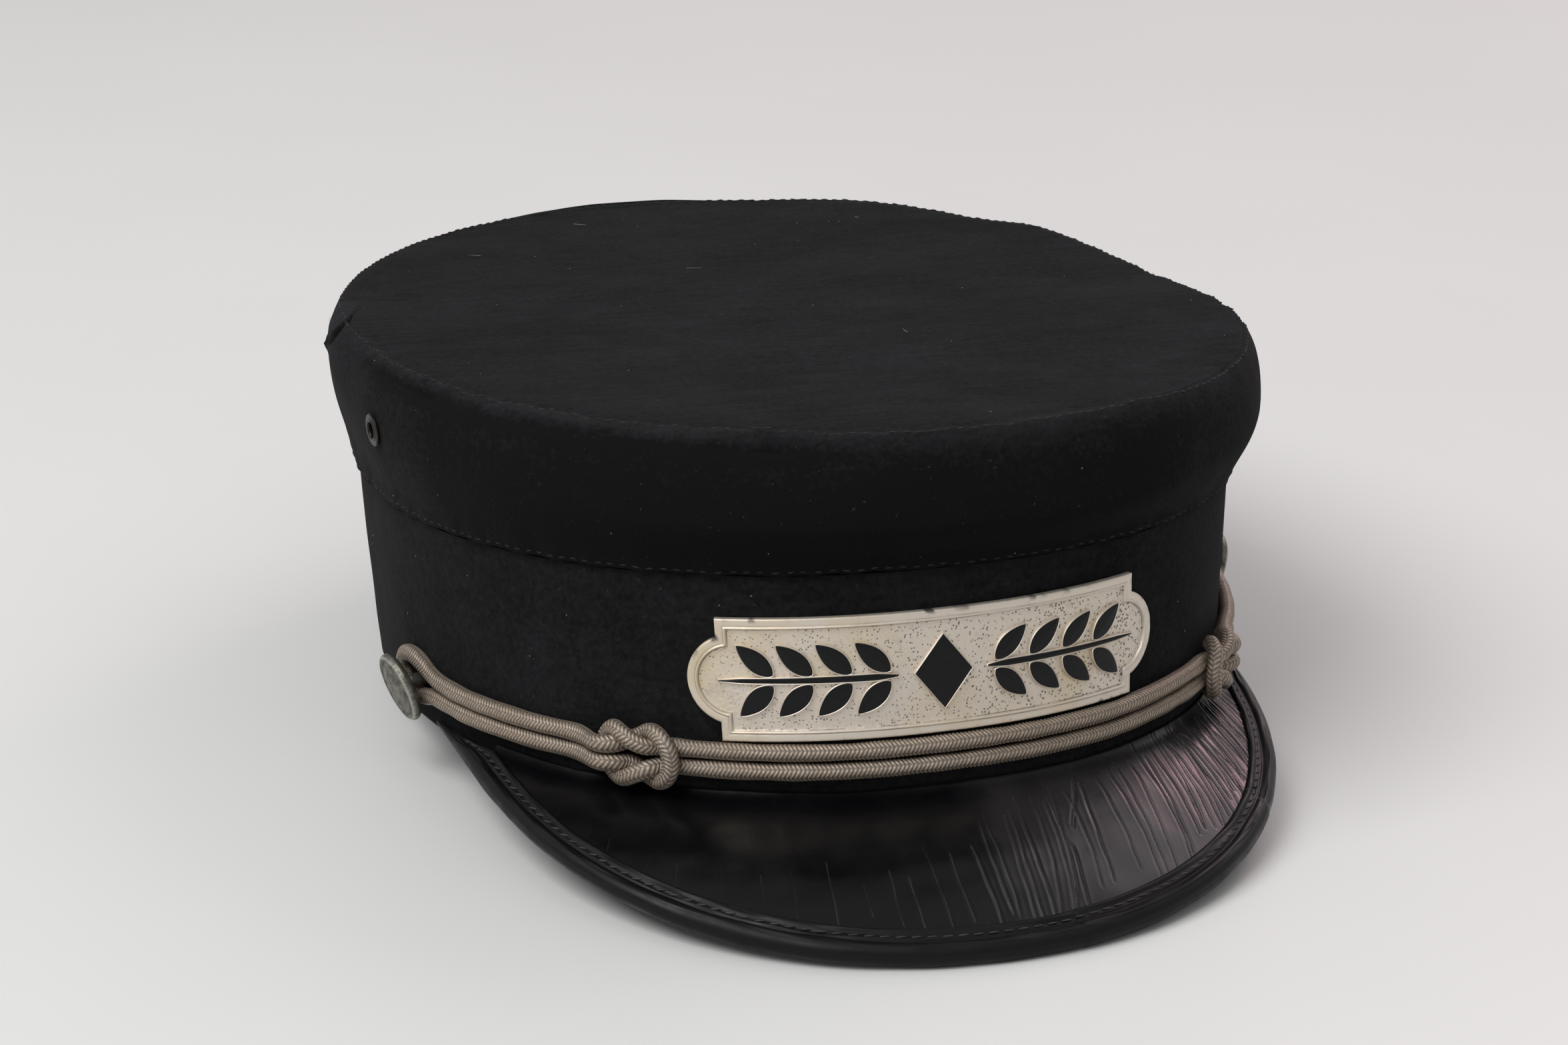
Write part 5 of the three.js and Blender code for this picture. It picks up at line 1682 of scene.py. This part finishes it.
def rubbed(section, shape):
    """How much each row of a turned section is rubbed bright and painted with a highlight."""
    rim, rise = shape
    return ridge(section[:, 0], rim) * step_at(section[:, 1], *rise)


def button_face(x, y):
    """Worn generic relief on a button's face: a ring and a few soft bars."""
    radius = np.hypot(x, y)
    inside = 1 - step_at(radius, *FACE_EDGE)
    bars = np.cos(y * 2.3 + 0.5 * np.sin(x * 0.9)) * (0.6 + 0.4 * np.cos(x * 0.8))
    return FACE_BARS * bars * inside + ridge(radius, FACE_RING)


class CAP_OT_buttons(bpy.types.Operator):
    """Models the two side buttons, each with its shank and washer"""

    bl_idname = "porter_cap.buttons"
    bl_label = "Buttons"

    def execute(self, context):
        metal = context.scene.cap_metal
        for side in ("left", "right"):
            along = arc_at(BUTTON_ANGLES[side])
            height = cord_height(along) - BUTTON["drop"]
            off = outward(band_level(height), BUTTON_ANGLES[side])
            foot = on_band(along, height, 0)
            nod = math.radians(BUTTON["nod"])
            nodded = off * math.cos(nod) - np.array([0, 0, math.sin(nod)])
            neck = foot + off * BUTTON["neck"]
            head = neck + nodded * BUTTON["reach"]
            section = refine(BUTTON_SECTION, 70)
            rim = rubbed(section, BUTTON_RUBBED_AND_HIGHLIT)
            crown = turned("button_head", section, head, nodded, 96, button_face, rim)
            back = -BAND_WALL - 2 * CLEARANCE
            low, high = back - BUTTON["washer_thickness"], back
            washer = BUTTON["washer"]
            rod = refine([
                (0, low), (washer - 0.2, low), (washer, low + 0.2), (washer, high - 0.2),
                (washer - 0.2, high), (BUTTON["shank"], high),
                (BUTTON["shank"], BUTTON["neck"] + 0.5), (0, BUTTON["neck"] + 0.5),
            ], 20)
            shank = turned("button_shank", rod, foot, off, 24)
            throat = turned("button_throat", refine([
                (0, 0), (BUTTON["shank"], 0), (BUTTON["shank"], BUTTON["reach"] + 0.4),
                (0, BUTTON["reach"] + 0.4),
            ], 8), neck, nodded, 24)
            piece = join("stamped_button_" + side, [crown, shank, throat])
            smooth(piece, 50)
            worn_metal = finish("white metal, button " + side, tarnished_metal, metal)
            dress(piece, worn_metal, "tarnished_metal", "button_" + side)
        return {"FINISHED"}


# Section of an eyelet round its ring: the rolled flange outside, the barrel, the flange inside
EYELET_SECTION = [
    (1.5, -3.3), (1.5, 0.40), (1.6, 0.64), (1.85, 0.78), (2.1, 0.76), (2.3, 0.62), (2.5, 0.60),
    (2.75, 0.64), (2.98, 0.56), (3.1, 0.40), (3.0, 0.2), (2.5, 0.2), (2.5, -2.95), (3.3, -2.95),
    (3.4, -3.3), (3.2, -3.6), (2.2, -3.6), (1.5, -3.3),
]


class CAP_OT_eyelets(bpy.types.Operator):
    """Models the vent eyelet in each side of the crown"""

    bl_idname = "porter_cap.eyelets"
    bl_label = "Eyelets"

    def execute(self, context):
        for side in ("left", "right"):
            level, angle = np.array(EYELET["level"]), np.array(EYELET[side])
            section = refine(EYELET_SECTION, 60)
            ring = turned(
                "rolled_eyelet_" + side, section, side_point(level, angle),
                side_normal(level, angle), 64, None, rubbed(section, EYELET_RUBBED_AND_HIGHLIT),
            )
            smooth(ring, 50)
            brass = finish("lacquered brass, " + side, lacquered_brass)
            dress(ring, brass, "gunmetal", "eyelet_" + side)
        return {"FINISHED"}


def badge_outline(inset):
    """The badge's outline, inset from its edge, as along and up, anticlockwise."""
    shoulder = BADGE["length"] / 2 - BADGE["lobe"]
    half = BADGE["lobe_chord"] / 2
    radius = (half ** 2 + BADGE["lobe"] ** 2) / (2 * BADGE["lobe"])
    centre = shoulder + BADGE["lobe"] - radius
    top = BADGE["height"] / 2 - inset
    side = shoulder - inset
    start = math.acos(np.clip((side - centre) / (radius - inset), -1, 1))
    lobe_turn = np.linspace(0, start, 26)[1:]
    lobe = np.stack([
        centre + (radius - inset) * np.cos(lobe_turn), (radius - inset) * np.sin(lobe_turn),
    ], -1)
    notch = np.stack([np.full(8, side), np.linspace(lobe[-1, 1], top, 9)[1:]], -1)
    plain = np.stack([np.linspace(side, 0, 122)[1:], np.full(121, top)], -1)
    tip = np.array([[centre + radius - inset, 0]])
    quarter = np.concatenate([tip, lobe, notch, plain])
    left = quarter[::-1][1:] * [-1, 1]
    upper = np.concatenate([quarter, left])
    lower = upper[::-1][1:] * [1, -1]
    return np.concatenate([upper, lower])


def both_sides(x, width):
    """A closed outline along X from its half width: the lower side, then the upper."""
    lower = np.stack([x, -width], -1)
    upper = np.stack([x, width], -1)[::-1]
    return lower, upper


def leaf_outline(inset):
    """A pointed leaf along X, from its foot, anticlockwise."""
    share = np.linspace(0, 1, 25)
    length = SPRAY["leaf_length"] - SPRAY["foot"]
    half = SPRAY["leaf_width"] / 2
    width = np.maximum(0, half - inset) * np.sin(math.pi * share ** 0.85) ** 0.8
    lower, upper = both_sides(SPRAY["foot"] + inset + share * (length - 2 * inset), width)
    return np.concatenate([lower, upper[1:]])


def stem_outline(inset):
    """A tapered stem along X with blunt ends, anticlockwise."""
    share = np.linspace(0, 1, 25)
    x = STEM["start"] + inset + share * (STEM["end"] - STEM["start"] - 2 * inset)
    width = STEM["half_width"] * (1 - STEM["taper"] * share ** 2) - inset
    width = np.maximum(width, 0.02) * np.minimum(1, 6 * np.minimum(share, 1 - share) + 0.3)
    lower, upper = both_sides(x, width)
    return np.concatenate([lower, upper, lower[:1]])


def lozenge_outline(inset):
    """The lozenge, anticlockwise; an inset moves each side in squarely."""
    width, height = LOZENGE["half_width"], LOZENGE["half_height"]
    side = math.hypot(width, height)
    width, height = width - inset * side / height, height - inset * side / width
    corners = np.array([(width, 0), (0, height), (-width, 0), (0, -height), (width, 0)])
    share = np.arange(12)[:, None] / 12
    sides = [mix(a, b, share) for a, b in zip(corners, corners[1:])]
    return np.concatenate([*sides, corners[:1]])


def raised_plate(name, outline, rows, place, middle=None, field=None):
    """A shell over an outline: each row is an inset and a height off the badge's back. It
    closes on a middle line at given heights, or on itself."""
    layers = [(outline(inset), height) for inset, height in rows]
    if middle is not None:
        inner, height = layers[-1][0], middle[1]
        spine = np.stack([np.clip(inner[:, 0], *middle[0]), 0 * inner[:, 0]], -1)
        steps = [(mix(inner, spine, share), mix(layers[-1][1], height, share ** 2))
                 for share in np.linspace(0, 1, middle[2])[1:]]
        first, low = layers[0]
        under = [(mix(first, spine, share), low) for share in UNDER_SHARES]
        layers = under + layers + steps
    flat = np.array([layer for layer, _ in layers])
    height = np.array([np.full(len(flat[0]), high) for _, high in layers])
    if field is not None:
        values, height = field(flat, height)
    else:
        values = np.zeros((*height.shape, 3))
    along, up = place(flat[..., 0], flat[..., 1])
    places = on_badge(along, up, height)
    uv = np.stack([along, up], -1)
    return close_shell(grid_piece(name, places, uv, {"plate": values}))


# The badge's section from its edge inwards, as inset and height: a rounded edge, the flat
# border, the thin raised line along its inner side, and the step down to the sunk field
BADGE_SECTION = [
    (0.25, 0.0), (0.06, 0.06), (0, 0.25), (0, 0.6), (0, 1.15), (0.07, 1.33), (0.25, 1.4),
    (0.5, 1.42), (0.9, 1.42), (1.2, 1.4), (1.32, 1.34), (1.38, 1.32), (1.44, 1.36),
    (1.52, 1.5), (1.62, 1.56), (1.74, 1.55), (1.84, 1.45), (1.9, 1.2), (1.98, 0.97),
    (2.12, 0.9), (2.4, 0.9),
]
# How dirty its rows are: the nicked edge, the row where that ends, and the two fine lines
EDGE_ROWS, EDGE_END, LINE_ROWS = slice(1, 7), 7, [11, 18]
EDGE_DIRT, EDGE_END_DIRT, LINE_DIRT = 0.9, 0.45, 0.8
FIELD_ROW = 18
# Patches of the plate, as length and seed of their waves and the heights between which they
# set in: nicks in the edge, stretches that are nicked, and dirt
NICKS, NICKED, DIRTY = (3.2, 74, 0.5, 1.6), (21, 75, -0.6, 0.5), (9, 71, -0.4, 0.9)
# Shares of dirt outside those patches and of roughness outside the field, and the roughness
CLEAN_SHARE, SMOOTH_SHARE = 0.35, 0.3
FIELD_ROUGH = [(0.035, 0.9, 72), (0.02, 4, 73)]
# Rows under a plate, as shares of the way from its edge to its middle line
UNDER_SHARES = (1.0, 0.5)
# Black cells stand in walls of nickel: inset from the cell's edge, and height
WALL_SECTION = [
    (-0.26, 0.8), (-0.26, 1.4), (-0.21, 1.56), (-0.12, 1.62), (-0.03, 1.58), (0.02, 1.45),
    (0.02, 0.8), (-0.26, 0.8),
]
ENAMEL_SECTION = [(0, 1.2), (0, 1.5), (0.06, 1.56), (0.2, 1.57), (0.4, 1.6)]
ENAMEL_CROWN = 1.66


def badge_field(flat, height):
    """Marks the pitted field and the dirty lines, and gives the field its slight relief."""
    sunk, dirt = np.zeros(height.shape), np.zeros(height.shape)
    section = slice(len(UNDER_SHARES), None)
    sunk[section][FIELD_ROW:] = 1
    nicks = patches(flat, NICKS) * patches(flat, NICKED)
    dirt[section][EDGE_ROWS] = EDGE_DIRT * nicks[section][EDGE_ROWS]
    dirt[section][EDGE_END] = EDGE_END_DIRT * nicks[section][EDGE_END]
    dirt[section][LINE_ROWS] = LINE_DIRT
    dirt = dirt * mix(CLEAN_SHARE, 1, patches(flat, DIRTY))
    rough = sum(wavy(flat, shape) for shape in FIELD_ROUGH) * mix(SMOOTH_SHARE, 1, sunk)
    return as_vectors(sunk, dirt), height + rough


def as_is(along, up):
    """A shape's own places, for one that stands in the middle of the badge."""
    return along, up


def leaf_place(foot, direction, side):
    """Places of a leaf that leans away from the stem."""
    lean = math.radians(SPRAY["lean"])

    def place(x, y):
        along = x * math.cos(lean) - y * math.sin(lean)
        up = x * math.sin(lean) + y * math.cos(lean)
        return foot + direction * along, side * up
    return place


def stem_place(direction):
    """Places of a stem that runs to one side."""
    return lambda x, y: (direction * x, y)


class CAP_OT_badge(bpy.types.Operator):
    """Models the badge: its bordered plate with two posts, and the enamel leaves on it"""

    bl_idname = "porter_cap.badge"
    bl_label = "Badge"

    def execute(self, context):
        nickel = finish("worn nickel plate, badge", worn_nickel, context.scene.cap_metal)
        enamel = finish("black vitreous enamel", black_enamel)
        spine = BADGE["length"] / 2 - 14
        plate = raised_plate(
            "plate", badge_outline, BADGE_SECTION, as_is, ((-spine, spine), 0.9, 26), badge_field,
        )
        posts = []
        for side in (-1, 1):
            along = side * POST["spacing"] / 2
            inner = on_badge(along, 0, -CLEARANCE - POST["length"])
            outer = on_badge(along, 0, 0.5)
            length = float(np.linalg.norm(outer - inner))
            rod = refine([(0, 0), (POST["radius"], 0), (POST["radius"], length), (0, length)], 8)
            posts.append(turned("post", rod, inner, outer - inner, 24))
        shape = (lozenge_outline, as_is, (0, 0))
        lozenge = self.cell("glazed_lozenge", *shape)
        walls = [self.wall("lozenge", *shape)]
        smooth(lozenge, 50)
        dress(lozenge, enamel, "enamel", "enamel_lozenge")
        for name, direction in (("left", -1), ("right", 1)):
            shapes = [("stem", stem_outline, stem_place(direction), (STEM["start"], STEM["end"]))]
            for i in range(SPRAY["pairs"]):
                foot = direction * (SPRAY["first"] + i * SPRAY["pitch"])
                for side in (-1, 1):
                    place = leaf_place(foot, direction, side)
                    shapes.append(("leaf", leaf_outline, place, (2.4, SPRAY["leaf_length"] - 1)))
            cells = [self.cell(*shape) for shape in shapes]
            walls += [self.wall(*shape) for shape in shapes]
            spray = join("glazed_spray_" + name, cells)
            smooth(spray, 50)
            dress(spray, enamel, "enamel", "enamel_spray_" + name)
        badge = join("nickel_badge", [plate, *posts, *walls])
        smooth(badge, 55)
        dress(badge, nickel, "nickel", "badge_plate")
        return {"FINISHED"}

    def cell(self, name, outline, place, spine):
        return raised_plate(name, outline, ENAMEL_SECTION, place, (spine, ENAMEL_CROWN, 5))

    def wall(self, name, outline, place, spine):
        return raised_plate(name + "_wall", outline, WALL_SECTION, place)


# Pieces: lint

class CAP_OT_lint(bpy.types.Operator):
    """Scatters the pale lint and short fibres that cling to the wool"""

    bl_idname = "porter_cap.lint"
    bl_label = "Lint"

    def execute(self, context):
        random = np.random.default_rng(81)
        count, fibre_count = 100, 8
        angle = random.uniform(-180, 180, count)
        level = random.uniform(0.15, 1.9, count)
        side = side_point(level, angle)
        side_off = side_normal(level, angle)
        share = np.sqrt(random.uniform(0, 0.94, count))
        top = side_point(np.array(2.0), angle) * np.stack([share, share, 0 * share], -1)
        top[:, 2] = TOP_SEAM[HEIGHT] + TOP_SEAM[BACK_RISE] * top[:, 1] - TOP_SAG * (1 - share ** 2)
        top_off = np.tile([0, 0, 1.0], (count, 1))
        up = random.uniform(14, 40, count)
        band = oval_point(band_level(up), angle)
        band_off = outward(band_level(up), angle)
        chosen = random.permutation(3 * count)[:count]
        offs = np.concatenate([side_off, top_off, band_off])
        # How far the specks lie off the plain surface of the side, the top and the band
        lifts = np.repeat([0.3, 0.35, 0.2], count)[:, None]
        centres = np.concatenate([side, top, band]) + offs * lifts
        aheads = np.cross(offs, random.normal(size=offs.shape))
        specks, fibres = (
            repeat_piece(name, template, centres[places], aheads[places], offs[places])
            for name, template, places in (
                ("lint_specks", stitch_template(0.36, 0.2, 0.12), chosen),
                ("lint_fibres", self.fibre(), chosen[:fibre_count]),
            )
        )
        lint = join("lint", [specks, fibres])
        smooth(lint)
        dress(lint, finish("lint", plain_thread, "#8b8881", 0.8), "cloth")
        return {"FINISHED"}

    def fibre(self):
        """One fibre: a thin curved thread about 3 mm long."""
        length, radius, curl, lift = 3.0, 0.05, 0.5, 0.12
        bpy.ops.mesh.primitive_cylinder_add(
            vertices=5, radius=radius * MILLIMETRE, depth=MILLIMETRE,
        )
        thread = bpy.context.object
        bpy.ops.object.mode_set(mode="EDIT")
        bpy.ops.mesh.select_all(action="SELECT")
        bpy.ops.mesh.bisect(plane_co=(0, 0, 0), plane_no=(0, 0, 1))
        bpy.ops.mesh.select_all(action="SELECT")
        bpy.ops.mesh.subdivide(number_cuts=2)
        bpy.ops.object.mode_set(mode="OBJECT")
        for vertex in thread.data.vertices:
            x, y, z = vertex.co / MILLIMETRE
            bent = Vector((length * z, y + curl * math.sin(2.4 * z), x + lift * z * z))
            vertex.co = bent * MILLIMETRE
        return thread


# Stage

# The camera, in the cap's own frame: its place, and its directions right and up
CAMERA_PLACE = np.array([-186.40, -660.05, 217.66])
CAMERA_RIGHT = np.array([0.96108, -0.27599, -0.01217])
CAMERA_UP = np.array([0.08628, 0.25801, 0.96228])
# Lights: name, place and aim in metres, width and height in metres, colour
LIGHTS = [
    ("key", (-1.0, -0.5, 1.45), (0, 0, 0.03), 1.3, 1.0, "#ffffff"),
    ("window", (1.28, 0.76, 1.30), (0.05, -0.08, 0.0), 0.95, 1.55, "#fbf3f4"),
    ("lamp", (1.23, 1.04, 0.98), (0.05, -0.08, 0.0), 0.34, 0.22, "#ffb4c4"),
]


class CAP_OT_stage(bpy.types.Operator):
    """Sets the floor, the lights and the camera"""

    bl_idname = "porter_cap.stage"
    bl_label = "Stage"

    def execute(self, context):
        stage = context.scene.cap_stage
        bpy.ops.mesh.primitive_plane_add(size=stage.floor_size)
        floor = bpy.context.object
        floor.name = "floor"
        floor.data.materials.append(finish("honed pale stone", pale_stone))
        for (name, place, aim, width, height, code), power in zip(
                LIGHTS, (stage.key_light, stage.back_light, stage.warm_light)):
            bpy.ops.object.light_add(type="AREA", location=place)
            lamp = bpy.context.object
            lamp.name = name
            lamp.data.shape = "RECTANGLE"
            lamp.data.size = width
            lamp.data.size_y = height
            lamp.data.energy = power
            lamp.data.color = linear(code)
            way = Vector(aim) - Vector(place)
            lamp.rotation_euler = way.to_track_quat("-Z", "Y").to_euler()
        world = bpy.data.worlds.new("room")
        context.scene.world = world
        world.use_nodes = True
        background = world.node_tree.nodes["Background"]
        background.inputs["Color"].default_value = (*linear("#f8f8f8"), 1)
        background.inputs["Strength"].default_value = stage.world_light
        bpy.ops.object.camera_add()
        camera = bpy.context.object
        camera.data.lens = stage.lens
        camera.data.sensor_width = 36
        camera.data.sensor_fit = "HORIZONTAL"
        right, up = turn_down(CAMERA_RIGHT), turn_down(CAMERA_UP)
        basis = Matrix((right, up, np.cross(right, up))).transposed()
        camera.matrix_world = Matrix.Translation(to_frame(CAMERA_PLACE)) @ basis.to_4x4()
        context.scene.camera = camera
        context.scene.view_settings.view_transform = "Standard"
        return {"FINISHED"}


class CAP_PT_panel(bpy.types.Panel):
    """Lists the cap's pieces and settings."""

    bl_idname = "CAP_PT_panel"
    bl_label = "Porter's Cap"
    bl_space_type = "VIEW_3D"
    bl_region_type = "UI"
    bl_category = "Porter's Cap"

    def draw(self, context):
        for operator in OPERATORS:
            self.layout.operator(operator.bl_idname)
        for key, group in SETTINGS.items():
            box = self.layout.box()
            for field in group.__annotations__:
                box.prop(getattr(context.scene, key), field)


SETTINGS = {
    "cap_cloth": ClothSettings,
    "cap_leather": LeatherSettings,
    "cap_cord": CordSettings,
    "cap_metal": MetalSettings,
    "cap_stage": StageSettings,
}
OPERATORS = [
    CAP_OT_stage, CAP_OT_cord, CAP_OT_crown_side, CAP_OT_crown_top, CAP_OT_crown_band,
    CAP_OT_crown_stitches, CAP_OT_peak, CAP_OT_binding, CAP_OT_buttons, CAP_OT_eyelets,
    CAP_OT_badge, CAP_OT_lint,
]


def register():
    for item in (*SETTINGS.values(), *OPERATORS, CAP_PT_panel):
        bpy.utils.register_class(item)
    for key, group in SETTINGS.items():
        setattr(bpy.types.Scene, key, bpy.props.PointerProperty(type=group))


def unregister():
    for key in SETTINGS:
        delattr(bpy.types.Scene, key)
    for item in reversed((*SETTINGS.values(), *OPERATORS, CAP_PT_panel)):
        bpy.utils.unregister_class(item)


def main():
    """Makes every piece."""
    register()
    for operator in OPERATORS:
        group, name = operator.bl_idname.split(".")
        getattr(getattr(bpy.ops, group), name)()


if __name__ == "__main__":
    main()
